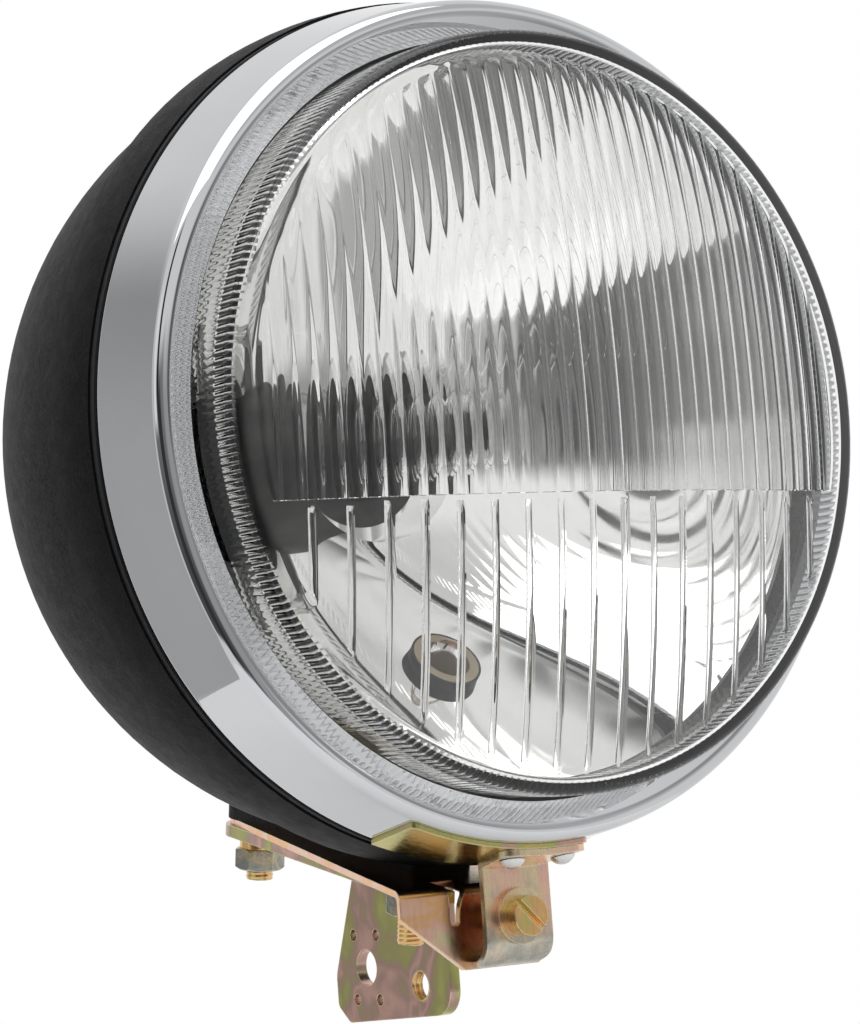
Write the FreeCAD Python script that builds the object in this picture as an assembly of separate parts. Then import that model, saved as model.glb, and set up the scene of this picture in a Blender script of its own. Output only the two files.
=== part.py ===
"""Round motorcycle headlight on a bent, zinc-plated bracket.

Lengths are millimetres and angles degrees. The lamp is drawn about its own axis, Y,
with the glass towards -Y, Z up and y = 0 at the rear edge of the chrome rim. At the
end every piece is moved so that the bracket's clear hole lies at the origin.
"""
import FreeCAD, Part
import math
import os

V = FreeCAD.Vector
X_AXIS = V(1, 0, 0)
Y_AXIS = V(0, 1, 0)
Z_AXIS = V(0, 0, 1)
CENTRE = V(0, 0, 0)
TINY = 1e-6

# Fits and clearances
SEAT_GAP = 0.05          # between curved sheets that lie on each other
PART_GAP = 0.1           # between pieces that slide into each other
SCREW_CLEARANCE = 0.2    # radial room round a screw in a plain hole
THREAD_GAP = 0.03        # radial room between a screw and its nut

# Chrome rim: a cone, a rolled front lip and a return at the rear edge
RIM_SHEET = 0.9
RIM_TAPER = 0.183        # loss of radius for each mm forward
RIM_DEPTH = 20.2
RIM_LIP_GAP = 0.7        # between the lip and the glass wall
RIM_LIP_WIDTH = 8.0
RIM_LIP_SET_BACK = 2.3   # of the lip's inner edge behind the rim's front
RIM_LIP_BEND = 2.3
RIM_RETURN = 2.4
RIM_EDGE_BEND = 0.3

# Glass
LENS_WALL_RADIUS = 79.6
LENS_WALL = 3.0
LENS_FLANGE = 4.9        # how far the flange stands out from the wall
LENS_FLANGE_THICK = 3.0
LENS_HEIGHT = 26.5       # from the flange's front to the top of the dome
LENS_DOME_RADIUS = 300.0
LENS_THICK = 3.8
LENS_CORNER = 3.0
LENS_SEAT = 0.3          # room between the rim's lip and the glass flange
OPTIC_RADIUS = 73.5
BEAM_EDGE_Z = -17.9      # where the flutes stop and the ribs start
FLUTE_PITCH = 4.3
FLUTE_LAND = 0.4
FLUTE_DEPTH = 0.5
RIB_PITCH = 7.92
RIB_RADIUS = 1.1
RIB_HEIGHT = 0.8
RIB_TOP_DROP = 1.6

# Seal and reflector
SEAL_THICK = 1.0
MIRROR_FOCUS = 27.0
MIRROR_STEP = 0.1        # of the mirror's mouth inside the glass wall
MIRROR_SHEET = 0.9
NECK_RADIUS = 21.0
NECK_LENGTH = 4.5        # behind the mirror's vertex
NECK_BORE = 17.0

# Springs that hold glass and reflector in the rim
SPRING_COUNT = 4
SPRING_WIDTH = 9.0
SPRING_SHEET = 0.6
SPRING_FOOT = 3.6
SPRING_BEND = 0.8
SPRING_ROOM = 0.6        # between a spring's end and the rim's cone

# Hook at the top of the rim
HOOK_WIDTH = 12.0
HOOK_SHEET = 0.9
HOOK_WELD = 4.4
HOOK_BEND = 0.5
HOOK_ROOM = 0.3          # between the hook and the housing's lip

# Housing
HOUSING_WALL = 2.6
GASKET_THICK = 1.6
GASKET_WIDTH = 3.0
BAND_PROUD = 0.5         # of the housing's mouth over the rim
BAND_CROWN = 0.55
BAND_FLARE = 0.15        # gain of radius from the mouth to the crease
CREASE_Y = 17.7
CREASE_STEP = 4.1        # loss of radius from the crease to the dome
DOME_SET_BACK = 5.8      # of the dome's centre behind the crease
SHOULDER_LEAD = 0.6      # of the dome's front edge ahead of its centre
LIP_STEP = 1.1           # of the housing's lip inside the rim's return
LIP_DEPTH = 2.0

# Keel under the housing and the plane that the straps lie on
STRAP_TILT = 10.4
FRONT_BOLT_Y = 33.7
STRAP_GAP = 1.69         # between the strap's top face and the housing's crease
REAR_BOLT_LEAD = 16.4    # of the rear bolt ahead of the dome's back
KEEL_HALF = 7.6
KEEL_FRONT = 11.4        # ahead of the front bolt, along the strap
KEEL_FLOOR = 5.0
KEEL_CORNER = 1.2

# Cable grommet in the back of the dome
GROMMET_ANGLE = 22.0
GROMMET_HOLE = 7.0
GROMMET_FLANGE = 10.0
GROMMET_FLANGE_THICK = 1.8
GROMMET_NOSE = 4.5
GROMMET_NOSE_LENGTH = 3.0

# Metric fasteners
M6_RADIUS = 3.0
M6_FLATS = 10.0
M6_NUT_HEIGHT = 5.0
M6_HEAD_RADIUS = 4.8
M6_HEAD_HEIGHT = 3.8
M6_SLOT_WIDTH = 1.5
M6_SLOT_DEPTH = 1.8
M5_RADIUS = 2.5
M5_FLATS = 8.0
M5_NUT_HEIGHT = 4.0
M5_HEAD_RADIUS = 4.3
M5_HEAD_HEIGHT = 3.4
M5_SLOT_WIDTH = 1.3
M5_SLOT_DEPTH = 1.6
SCREW_END = 2.4          # how far a screw stands out of its nut
FRONT_SCREW_EXTRA = 4.1  # of the front screw's length over the rear one's
LOCK_WASHER_RADIUS = 4.8
LOCK_WASHER_THICK = 2.9

# Upper strap with the bent front flange; drops count from its top face at the front bolt
SADDLE_SHEET = 1.5
SADDLE_BEND = 1.0
SADDLE_REAR_HALF = 7.2
SADDLE_LEFT = 25.3       # reach of the front flange to the left of the middle
SADDLE_RIGHT = 13.0
FLANGE_Y = 3.0
FLANGE_BOTTOM_DROP = 23.2
FLANGE_SHOULDER_DROP = 11.5
FLANGE_TIP_HALF = 9.8
TONGUE_RADIUS = 10.4     # of the flange's middle, about the clamp screw
NOTCH_WIDTH = 2.4        # beside the tongue, at the notch's round end
NOTCH_DEPTH = 7.0        # into the strap

# Lower strap with the drilled side plate; its places count back from the front bolt
MOUNT_SHEET = 2.7
MOUNT_BEND = 1.8
MOUNT_REAR_HALF = 8.2
MOUNT_FRONT_HALF = 16.5
MOUNT_BEND_ROOM = 0.2    # between the strap's front edge and the flange's bend
MOUNT_ARM_INSET = 9.0    # of the front arm's right side from the middle
MOUNT_ARM_LENGTH = 6.5
MOUNT_SIDE_LEAD = 2.2    # of the strap's right side ahead of the front bolt
PLATE_X = 8.4            # inner face of the side plate
PLATE_TOP_REAR_BACK = 34.8
PLATE_REAR_BACK = 47.2
PLATE_REAR_TOP_DROP = 26.2
PLATE_REAR_LOW_DROP = 33.3
PLATE_HEEL_BACK = 42.7
PLATE_HEEL_DROP = 37.1
PLATE_TOE_BACK = 1.6
PLATE_TOE_DROP = 34.7
PLATE_CORNER = 6.0
PLATE_LOW_CORNER = 2.0
CLEAR_HOLE_RADIUS = 4.1
CLEAR_HOLE_BACK = 34.5
CLEAR_HOLE_DROP = 24.4
THREAD_HOLE_RADIUS = 3.4
THREAD_HOLE_BACK = 13.1
THREAD_HOLE_DROP = 28.5
SMALL_HOLE_RADIUS = 1.3
SMALL_HOLE_SPAN_Y = 9.2
SMALL_HOLE_SPAN_Z = 14.7

# Saddle under the rim, clip, rivets and clamp screw
LUG_SHEET = 1.0
LUG_REAR_Y = -0.8
LUG_FRONT_Y = -16.4
LUG_LEFT = 33.8          # reach of the lug to the left of the middle
LUG_RIGHT = 10.6
LUG_CORNER = 1.5
CLIP_SHEET = 1.4
CLIP_FACE_Y = -4.0
CLIP_HALF = 8.6
CLIP_FLANGE_HALF = 11.2  # at the flange's front
CLIP_FLANGE_CORNER = 3.0
CLIP_FOOT_RISE = 0.2     # of the clip's foot above the flange's tip
CLIP_BEND = 4.6
CLIP_CORNER = 2.5
RIVET_X = 6.4
RIVET_Y = -11.6
RIVET_SHANK = 1.5
RIVET_HEAD = 2.7
RIVET_DOME = 1.7
RIVET_TAIL = 2.3
RIVET_TAIL_THICK = 0.9
CLAMP_DROP = 12.6
CLAMP_SLOT_ANGLE = 45.0
CLAMP_WASHER_RADIUS = 6.0
CLAMP_WASHER_THICK = 1.2

# Main bulb
BULB_GLASS_RADIUS = 8.4
BULB_GLASS_WALL = 1.0
BULB_REACH = 52.0        # from the flange to the glass tip
BULB_COLLAR_RADIUS = 11.0
BULB_COLLAR_LENGTH = 15.0
BULB_FLANGE_RADIUS = 21.0
BULB_FLANGE_THICK = 1.4
BULB_BASE_RADIUS = 14.0
BULB_BASE_LENGTH = 13.0
BLADE_WIDTH = 8.0
BLADE_THICK = 0.8
BLADE_LENGTH = 9.0
BLADE_OFFSET = 8.0
BLADE_DROP = 2.0         # of the two upright blades below the axis
SHIELD_RADIUS = 4.6
SHIELD_WALL = 0.5
SHIELD_LENGTH = 13.0
SHIELD_REACH = 34.0      # from the flange to the cup's front
RETAINER_WALL = 2.4
RETAINER_LIP = 1.6
RETAINER_SKIRT = 2.8     # how far it reaches over the neck
RETAINER_BORE = 16.0
CONNECTOR_WIDTH = 30.0
CONNECTOR_HEIGHT = 22.0
CONNECTOR_LENGTH = 20.0
CONNECTOR_CORNER = 3.0

# Side light low in the reflector
PILOT_R = 50.0           # distance below the lamp's axis
PILOT_RADIUS = 8.0
PILOT_BORE = 5.4
PILOT_FRONT = 2.6        # how far the ring stands out of the mirror
PILOT_LENGTH = 20.0
PILOT_SHOULDER = 9.8
PILOT_SHOULDER_THICK = 1.8
PILOT_SHOULDER_DROP = 1.4
PILOT_GLASS_RADIUS = 4.0
PILOT_GLASS_TIP = 7.0
PILOT_GLASS_ROOT = -4.0
PILOT_CAP_LENGTH = 12.0

# Places worked out from the sizes above
RIM_LIP_INNER = LENS_WALL_RADIUS + RIM_LIP_GAP
RIM_RADIUS = RIM_LIP_INNER + RIM_LIP_WIDTH + RIM_TAPER * RIM_DEPTH
RIM_LIP_Y = RIM_LIP_SET_BACK - RIM_DEPTH
LENS_INNER_RADIUS = LENS_WALL_RADIUS - LENS_WALL
LENS_FLANGE_Y = RIM_LIP_Y + RIM_SHEET + LENS_SEAT
LENS_BACK_Y = LENS_FLANGE_Y + LENS_FLANGE_THICK
LENS_FRONT_Y = LENS_FLANGE_Y - LENS_HEIGHT
MIRROR_FRONT_Y = LENS_BACK_Y + SEAL_THICK
MIRROR_MOUTH = LENS_INNER_RADIUS - MIRROR_STEP
MIRROR_VERTEX_Y = MIRROR_FRONT_Y + MIRROR_MOUTH ** 2 / (4 * MIRROR_FOCUS)
NECK_END_Y = MIRROR_VERTEX_Y + NECK_LENGTH
BULB_TIP_Y = NECK_END_Y - BULB_REACH
BULB_COLLAR_Y = NECK_END_Y - BULB_COLLAR_LENGTH
SHIELD_FRONT_Y = NECK_END_Y - SHIELD_REACH
BAND_FRONT_RADIUS = RIM_RADIUS + BAND_PROUD
CREASE_RADIUS = BAND_FRONT_RADIUS + BAND_FLARE
DOME_RADIUS = CREASE_RADIUS - CREASE_STEP
DOME_CENTRE_Y = CREASE_Y + DOME_SET_BACK
SHOULDER_Y = DOME_CENTRE_Y - SHOULDER_LEAD
LIP_INNER = RIM_RADIUS - RIM_RETURN - LIP_STEP
STRAP_SLOPE = math.tan(math.radians(STRAP_TILT))
BOLT_SPAN_Y = DOME_CENTRE_Y + DOME_RADIUS - REAR_BOLT_LEAD - FRONT_BOLT_Y
BOLT_SPACING = BOLT_SPAN_Y / math.cos(math.radians(STRAP_TILT))
STRAP_TOP_Z = (FRONT_BOLT_Y - CREASE_Y) * STRAP_SLOPE - CREASE_RADIUS - STRAP_GAP
CLAMP_Z = STRAP_TOP_Z - CLAMP_DROP
CLIP_BOTTOM_Z = STRAP_TOP_Z - FLANGE_BOTTOM_DROP + CLIP_FOOT_RISE
PLATE_OUTER_X = PLATE_X + MOUNT_SHEET
CLEAR_HOLE_Y = FRONT_BOLT_Y + CLEAR_HOLE_BACK
CLEAR_HOLE_Z = STRAP_TOP_Z - CLEAR_HOLE_DROP
ORIGIN = V(PLATE_X + MOUNT_SHEET / 2, CLEAR_HOLE_Y, CLEAR_HOLE_Z)
FAR = 4 * RIM_RADIUS     # longer than any piece, for tools that cut right through


# Drawing helpers
def section(r, y):
    """A point of a profile that is turned about the lamp's axis."""
    return V(r, y, 0)


def side(y, z):
    """A point of a profile drawn from the side."""
    return V(0, y, z)


def direction(start, end):
    return (end - start).normalize()


def corner_arc(before, corner, after, radius):
    """Start, middle and end of the arc that rounds a corner."""
    into = direction(before, corner)
    out = direction(corner, after)
    turn = into.getAngle(out)
    reach = radius * math.tan(turn / 2)
    rise = radius / math.cos(turn / 2) - radius
    middle = corner + (out - into).normalize() * rise
    return corner - into * reach, middle, corner + out * reach


def rounded_wire(points, radii):
    """Closed outline of straight runs; each corner has its own radius, 0 for sharp."""
    corners = []
    for i, (point, radius) in enumerate(zip(points, radii)):
        if radius == 0:
            corners.append((point, None, point))
        else:
            corners.append(corner_arc(points[i - 1], point, points[(i + 1) % len(points)], radius))
    edges = []
    for i, (start, middle, end) in enumerate(corners):
        if middle is not None:
            edges.append(Part.Arc(start, middle, end).toShape())
        following = corners[(i + 1) % len(corners)][0]
        if end.distanceToPoint(following) > TINY:
            edges.append(Part.LineSegment(end, following).toShape())
    return Part.Wire(edges)


def rounded_face(points, radii=None):
    return Part.Face(rounded_wire(points, radii or [0] * len(points)))


def moved_sideways(points, distance, normal):
    """An open run of points, offset to the left of its travel as seen against normal."""
    moved = []
    for i, point in enumerate(points):
        into = direction(points[max(i - 1, 0)], points[max(i, 1)])
        out = direction(points[min(i, len(points) - 2)], points[min(i + 1, len(points) - 1)])
        lean = (normal.cross(into) + normal.cross(out)).normalize()
        moved.append(point + lean * (distance / lean.dot(normal.cross(into))))
    return moved


def sheet_face(points, bend, thickness, normal):
    """Section of a bent sheet: the run of points is one skin, the other lies to its left.

    Every bend has the same inside radius."""
    skin = []
    back = []
    for i in range(len(points)):
        if i in (0, len(points) - 1):
            skin.append(0)
            back.append(0)
            continue
        into = direction(points[i - 1], points[i])
        out = direction(points[i], points[i + 1])
        turns_left = normal.dot(into.cross(out)) > 0
        skin.append(bend + thickness if turns_left else bend)
        back.append(bend if turns_left else bend + thickness)
    other = moved_sideways(points, thickness, normal)
    return rounded_face(points + other[::-1], skin + back[::-1])


def turned(face):
    return face.revolve(CENTRE, Y_AXIS, 360)


def prism(face, travel):
    return face.extrude(travel)


def thick_plate(outline, axis, low, high):
    """A flat outline, drawn at zero on the axis, made solid between two heights."""
    plate = prism(outline, axis * (high - low))
    plate.translate(axis * low)
    return plate


def rod(radius, start, end):
    return Part.makeCylinder(radius, start.distanceToPoint(end), start, direction(start, end))


def tube(outer, inner, start, end):
    return rod(outer, start, end).cut(rod(inner, start, end))


def hexagon(flats, start, end, corner):
    """Hexagonal prism along a line, with one edge towards corner, which is square to the line."""
    across = direction(start, end).cross(corner)
    reach = flats / math.sqrt(3)
    points = []
    for i in range(6):
        angle = math.radians(60 * i)
        points.append(start + corner * reach * math.cos(angle) + across * reach * math.sin(angle))
    return prism(rounded_face(points), end - start)


def hex_nut(start, end, corner, bolt_radius, flats):
    """Nut with its corners turned off at both ends; the plain bore stands for the thread."""
    height = start.distanceToPoint(end)
    flat_r = flats / 2
    corner_r = flats / math.sqrt(3)
    bevel = (corner_r - flat_r) / math.sqrt(3)
    profile = [V(0, 0, 0), V(flat_r, 0, 0), V(corner_r, 0, bevel), V(corner_r, 0, height - bevel),
               V(flat_r, 0, height), V(0, 0, height)]
    blank = rounded_face(profile).revolve(CENTRE, Z_AXIS, 360)
    blank.Placement = FreeCAD.Placement(start, FreeCAD.Rotation(Z_AXIS, direction(start, end)))
    nut = hexagon(flats, start, end, corner).common(blank)
    return nut.cut(rod(bolt_radius + THREAD_GAP, start, end))


def cheese_screw(shank_radius, length, head_radius, head_height, slot_width, slot_depth):
    """Slotted screw about Z, its head above 0; the plain shank stands for the thread."""
    head = rod(head_radius, V(0, 0, 0), V(0, 0, head_height))
    slot = Part.makeBox(2 * head_radius, slot_width, slot_depth,
                        V(-head_radius, -slot_width / 2, head_height - slot_depth))
    return head.cut(slot).fuse(rod(shank_radius, V(0, 0, -length), V(0, 0, 0))).removeSplitter()


# Places that several pieces share
def rim_radius(y):
    """Outer radius of the rim's cone; y is negative towards the front."""
    return RIM_RADIUS + RIM_TAPER * y


def strap_z(y):
    """Height of the upper strap's top face."""
    return STRAP_TOP_Z + (y - FRONT_BOLT_Y) * STRAP_SLOPE


def strap_frame():
    """Placement whose X, Y and Z run across, along and up from the straps."""
    return FreeCAD.Placement(V(0, FRONT_BOLT_Y, STRAP_TOP_Z), FreeCAD.Rotation(X_AXIS, STRAP_TILT))


def on_strap(shape):
    shape.Placement = strap_frame().multiply(shape.Placement)
    return shape


def below_bolt(back, drop):
    """A point seen from the side: back from the front bolt, down from the strap's top face there."""
    return side(FRONT_BOLT_Y + back, STRAP_TOP_Z - drop)


def bolt_places():
    return [0, BOLT_SPACING]


def mirror_y(r):
    """The reflecting surface: a paraboloid about the lamp's axis."""
    return MIRROR_VERTEX_Y - r * r / (4 * MIRROR_FOCUS)


def flange_radius():
    return LENS_WALL_RADIUS + LENS_FLANGE


# Chrome rim
def rim_run():
    """Outer skin of the rim, from the inner end of its return to the lip at the glass."""
    front = section(RIM_LIP_INNER + RIM_LIP_WIDTH, -RIM_DEPTH)
    return [section(RIM_RADIUS - RIM_RETURN, 0), section(RIM_RADIUS, 0), front,
            section(RIM_LIP_INNER, RIM_LIP_Y)]


def rim():
    skin = rim_run()
    inner = moved_sideways(skin, -RIM_SHEET, Z_AXIS)
    outside = [0, RIM_EDGE_BEND + RIM_SHEET, RIM_LIP_BEND + RIM_SHEET, 0]
    inside = [0, RIM_EDGE_BEND, RIM_LIP_BEND, 0]
    ring = turned(rounded_face(skin + inner[::-1], outside + inside[::-1]))
    for x in (-RIVET_X, RIVET_X):
        ring = ring.cut(rivet_tool(x, RIVET_SHANK + PART_GAP))
    return ring


def rivet_frame(x):
    """Placement on the rim's outer face, with Z pointing away from the lamp."""
    radius = rim_radius(RIVET_Y)
    angle = math.asin(x / radius)
    slope = math.atan(RIM_TAPER)
    radial = V(math.sin(angle), 0, -math.cos(angle))
    outward = radial * math.cos(slope) - Y_AXIS * math.sin(slope)
    return FreeCAD.Placement(radial * radius + Y_AXIS * RIVET_Y, FreeCAD.Rotation(Z_AXIS, outward))


def rivet_stack():
    return LUG_SHEET + CLIP_SHEET + 2 * SEAT_GAP


def rivet_tool(x, radius):
    tool = rod(radius, V(0, 0, -LUG_RIGHT), V(0, 0, LUG_RIGHT))
    tool.Placement = rivet_frame(x)
    return tool


def lug_rivets():
    """Dome heads below the clip, formed tails inside the rim."""
    rivets = []
    head_y = rivet_stack() + PART_GAP
    tail_y = -RIM_SHEET - PART_GAP
    for x in (-RIVET_X, RIVET_X):
        radius = (RIVET_HEAD ** 2 + RIVET_DOME ** 2) / (2 * RIVET_DOME)
        ball = Part.makeSphere(radius, V(0, 0, head_y + RIVET_DOME - radius))
        head = ball.common(rod(RIVET_HEAD, V(0, 0, head_y), V(0, 0, head_y + radius)))
        shank = rod(RIVET_SHANK, V(0, 0, tail_y), V(0, 0, head_y))
        tail = rod(RIVET_TAIL, V(0, 0, tail_y - RIVET_TAIL_THICK), V(0, 0, tail_y))
        rivet = head.fuse([shank, tail]).removeSplitter()
        rivet.Placement = rivet_frame(x)
        rivets.append(rivet)
    return Part.makeCompound(rivets)


def cone_shell(low, high):
    """Sheet that lies on the rim's cone between two distances from it."""
    lean = math.sqrt(1 + RIM_TAPER ** 2)
    points = [section(rim_radius(LUG_REAR_Y) + low * lean, LUG_REAR_Y),
              section(rim_radius(LUG_REAR_Y) + high * lean, LUG_REAR_Y),
              section(rim_radius(LUG_FRONT_Y) + high * lean, LUG_FRONT_Y),
              section(rim_radius(LUG_FRONT_Y) + low * lean, LUG_FRONT_Y)]
    return turned(rounded_face(points))


def under_lamp(outline):
    """A plan outline carried down through everything below the axis."""
    return prism(outline, Z_AXIS * -FAR)


def rim_lug():
    """Saddle on the rim's cone, with a long wing to the left."""
    plan = rounded_face([V(LUG_RIGHT, LUG_REAR_Y, 0), V(LUG_RIGHT, LUG_FRONT_Y, 0),
                         V(-LUG_LEFT, LUG_FRONT_Y, 0), V(-LUG_LEFT, LUG_REAR_Y, 0)],
                        [0, LUG_CORNER, LUG_CORNER, 0])
    saddle = cone_shell(SEAT_GAP, SEAT_GAP + LUG_SHEET).common(under_lamp(plan))
    for x in (-RIVET_X, RIVET_X):
        saddle = saddle.cut(rivet_tool(x, RIVET_SHANK + PART_GAP))
    return saddle


def clamp_clip():
    """Strap from under the rim, bent back at its foot against the bracket's flange."""
    low = 2 * SEAT_GAP + LUG_SHEET
    back_y = CLIP_FACE_Y + CLIP_SHEET
    plan = rounded_face([V(-CLIP_HALF, back_y, 0), V(CLIP_HALF, back_y, 0),
                         V(CLIP_FLANGE_HALF, LUG_FRONT_Y, 0), V(-CLIP_FLANGE_HALF, LUG_FRONT_Y, 0)],
                        [0, 0, CLIP_FLANGE_CORNER, CLIP_FLANGE_CORNER])
    flange = cone_shell(low, low + CLIP_SHEET).common(under_lamp(plan))
    top_z = -(rim_radius(CLIP_FACE_Y) + low + CLIP_SHEET / 2)
    run = [side(CLIP_FACE_Y, top_z), side(CLIP_FACE_Y, CLIP_BOTTOM_Z),
           side(FLANGE_Y - SEAT_GAP, CLIP_BOTTOM_Z)]
    strap = thick_plate(sheet_face(run, CLIP_BEND, CLIP_SHEET, X_AXIS), X_AXIS, -CLIP_HALF, CLIP_HALF)
    front = rounded_face([V(-CLIP_HALF, 0, 0), V(CLIP_HALF, 0, 0), V(CLIP_HALF, 0, CLIP_BOTTOM_Z),
                          V(-CLIP_HALF, 0, CLIP_BOTTOM_Z)], [0, 0, CLIP_CORNER, CLIP_CORNER])
    strap = strap.common(thick_plate(front, Y_AXIS, -RIM_DEPTH, RIM_DEPTH))
    clip = flange.fuse(strap).removeSplitter()
    for x in (-RIVET_X, RIVET_X):
        clip = clip.cut(rivet_tool(x, RIVET_SHANK + PART_GAP))
    return clip.cut(clamp_hole())


def clamp_axis(y):
    return V(0, y, CLAMP_Z)


def clamp_hole():
    return rod(M5_RADIUS + SCREW_CLEARANCE, clamp_axis(-RIM_DEPTH), clamp_axis(RIM_DEPTH))


def clamp_seat_y():
    return CLIP_FACE_Y - CLAMP_WASHER_THICK


def clamp_nut_y():
    return FLANGE_Y + SADDLE_SHEET


def clamp_screw():
    length = clamp_nut_y() + M5_NUT_HEIGHT + SCREW_END - clamp_seat_y()
    screw = cheese_screw(M5_RADIUS, length, M5_HEAD_RADIUS, M5_HEAD_HEIGHT, M5_SLOT_WIDTH, M5_SLOT_DEPTH)
    screw.rotate(CENTRE, Z_AXIS, -CLAMP_SLOT_ANGLE)
    screw.rotate(CENTRE, X_AXIS, 90)
    screw.translate(clamp_axis(clamp_seat_y()))
    return screw


def clamp_washer():
    return tube(CLAMP_WASHER_RADIUS, M5_RADIUS + SCREW_CLEARANCE, clamp_axis(clamp_seat_y()),
                clamp_axis(CLIP_FACE_Y))


def clamp_nut():
    return hex_nut(clamp_axis(clamp_nut_y()), clamp_axis(clamp_nut_y() + M5_NUT_HEIGHT), X_AXIS,
                   M5_RADIUS, M5_FLATS)


# Hook and springs inside the rim
def rim_inner(y):
    """Inner radius of the rim's cone."""
    return rim_radius(y) - RIM_SHEET * math.sqrt(1 + RIM_TAPER ** 2)


def hook_run():
    """Outer skin of the hook, from its weld on the rim to its end behind the housing's lip."""
    weld_y = -RIM_SHEET - RIM_RETURN
    pass_r = LIP_INNER - HOOK_ROOM
    behind = GASKET_THICK + LIP_DEPTH + HOOK_SHEET
    rise = HOOK_SHEET + PART_GAP
    return [section(rim_inner(weld_y - HOOK_WELD) - rise / 2, weld_y - HOOK_WELD),
            section(rim_inner(weld_y) - rise / 2, weld_y), section(pass_r, -RIM_SHEET),
            section(pass_r, behind), section(pass_r + rise, behind + rise)]


def rim_hook():
    face = sheet_face(hook_run(), HOOK_BEND, HOOK_SHEET, Z_AXIS)
    hook = thick_plate(face, Z_AXIS, -HOOK_WIDTH / 2, HOOK_WIDTH / 2)
    hook.rotate(CENTRE, Y_AXIS, -90)
    return hook


def spring_run():
    """Skin of one spring, from its foot on the reflector's flange to the rim's return."""
    foot_y = MIRROR_FRONT_Y + MIRROR_SHEET + SEAT_GAP
    top_y = -RIM_SHEET - SPRING_SHEET - PART_GAP
    outer = rim_inner(top_y) - SPRING_ROOM
    knee = flange_radius() - SPRING_SHEET
    return [section(knee - SPRING_FOOT, foot_y), section(knee, foot_y),
            section(outer - RIM_RETURN, top_y), section(outer, top_y)]


def retaining_springs():
    face = sheet_face(spring_run(), SPRING_BEND, SPRING_SHEET, Z_AXIS)
    springs = []
    for i in range(SPRING_COUNT):
        spring = thick_plate(face, Z_AXIS, -SPRING_WIDTH / 2, SPRING_WIDTH / 2)
        spring.rotate(CENTRE, Y_AXIS, 360 / SPRING_COUNT * (i + 0.5))
        springs.append(spring)
    return Part.makeCompound(springs)


# Glass
def dome_y(r, depth):
    """The glass dome's surface, depth behind its outer face."""
    radius = LENS_DOME_RADIUS - depth
    return LENS_FRONT_Y + LENS_DOME_RADIUS - math.sqrt(radius ** 2 - r ** 2)


def dome_arc(r, depth):
    """Edge of the dome from radius r to the axis."""
    return Part.Arc(section(r, dome_y(r, depth)), section(r / 2, dome_y(r / 2, depth)),
                    section(0, dome_y(0, depth))).toShape()


def lens_blank():
    front = section(LENS_WALL_RADIUS, dome_y(LENS_WALL_RADIUS, 0))
    back = section(LENS_INNER_RADIUS, dome_y(LENS_INNER_RADIUS, LENS_THICK))
    run = [back, section(LENS_INNER_RADIUS, LENS_BACK_Y), section(flange_radius(), LENS_BACK_Y),
           section(flange_radius(), LENS_FLANGE_Y),
           section(LENS_WALL_RADIUS, LENS_FLANGE_Y), front]
    edges = [Part.LineSegment(a, b).toShape() for a, b in zip(run, run[1:])]
    edges.append(dome_arc(LENS_WALL_RADIUS, 0))
    edges.append(Part.LineSegment(section(0, dome_y(0, 0)), section(0, dome_y(0, LENS_THICK))).toShape())
    edges.append(dome_arc(LENS_INNER_RADIUS, LENS_THICK))
    blank = turned(Part.Face(Part.Wire(Part.__sortEdges__(edges))))
    rims = [e for e in blank.Edges if on_front_corner(e)]
    return blank.makeFillet(LENS_CORNER, rims)


def on_front_corner(edge):
    """True for the circle where the glass wall meets the dome."""
    middle = edge.valueAt((edge.FirstParameter + edge.LastParameter) / 2)
    radius = math.hypot(middle.x, middle.z)
    return abs(radius - LENS_WALL_RADIUS) < TINY and abs(middle.y - dome_y(radius, 0)) < TINY


def bar_on_dome(x, low_z, high_z, radius, centre_depth):
    """Round bar that follows the dome's curve up and down at one x."""
    reach = math.sqrt((LENS_DOME_RADIUS - LENS_THICK) ** 2 - x ** 2)
    middle_y = LENS_FRONT_Y + LENS_DOME_RADIUS
    disc = Part.Face(Part.Wire(Part.makeCircle(radius, V(x, middle_y - reach - centre_depth, 0), Z_AXIS)))
    low = math.degrees(math.asin(low_z / reach))
    high = math.degrees(math.asin(high_z / reach))
    pivot = V(x, middle_y, 0)
    disc.rotate(pivot, X_AXIS, -low)
    return disc.revolve(pivot, X_AXIS, low - high)


def even_places(pitch, count):
    """Places side by side across the optic, evenly about the axis."""
    return [(i - (count - 1) / 2) * pitch for i in range(count)]


def lens():
    """Pressed glass: hollow flutes above the beam edge, half-round ribs below it."""
    half = (FLUTE_PITCH - FLUTE_LAND) / 2
    flute_radius = (half ** 2 + FLUTE_DEPTH ** 2) / (2 * FLUTE_DEPTH)
    flutes = []
    for x in even_places(FLUTE_PITCH, 2 * int(OPTIC_RADIUS / FLUTE_PITCH)):
        top = math.sqrt(OPTIC_RADIUS ** 2 - (abs(x) + half) ** 2)
        flutes.append(bar_on_dome(x, BEAM_EDGE_Z, top, flute_radius, FLUTE_DEPTH - flute_radius))
    ribs = []
    for x in even_places(RIB_PITCH, 2 * int(OPTIC_RADIUS / RIB_PITCH) - 1):
        foot = math.sqrt(OPTIC_RADIUS ** 2 - (abs(x) + RIB_RADIUS) ** 2)
        if foot > RIB_PITCH - BEAM_EDGE_Z:
            ribs.append(bar_on_dome(x, -foot, BEAM_EDGE_Z - RIB_TOP_DROP, RIB_RADIUS,
                                    RIB_RADIUS - RIB_HEIGHT))
    return lens_blank().cut(flutes).fuse(ribs).removeSplitter()


def lens_seal():
    return tube(flange_radius(), LENS_INNER_RADIUS, Y_AXIS * LENS_BACK_Y,
                Y_AXIS * MIRROR_FRONT_Y)


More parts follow.
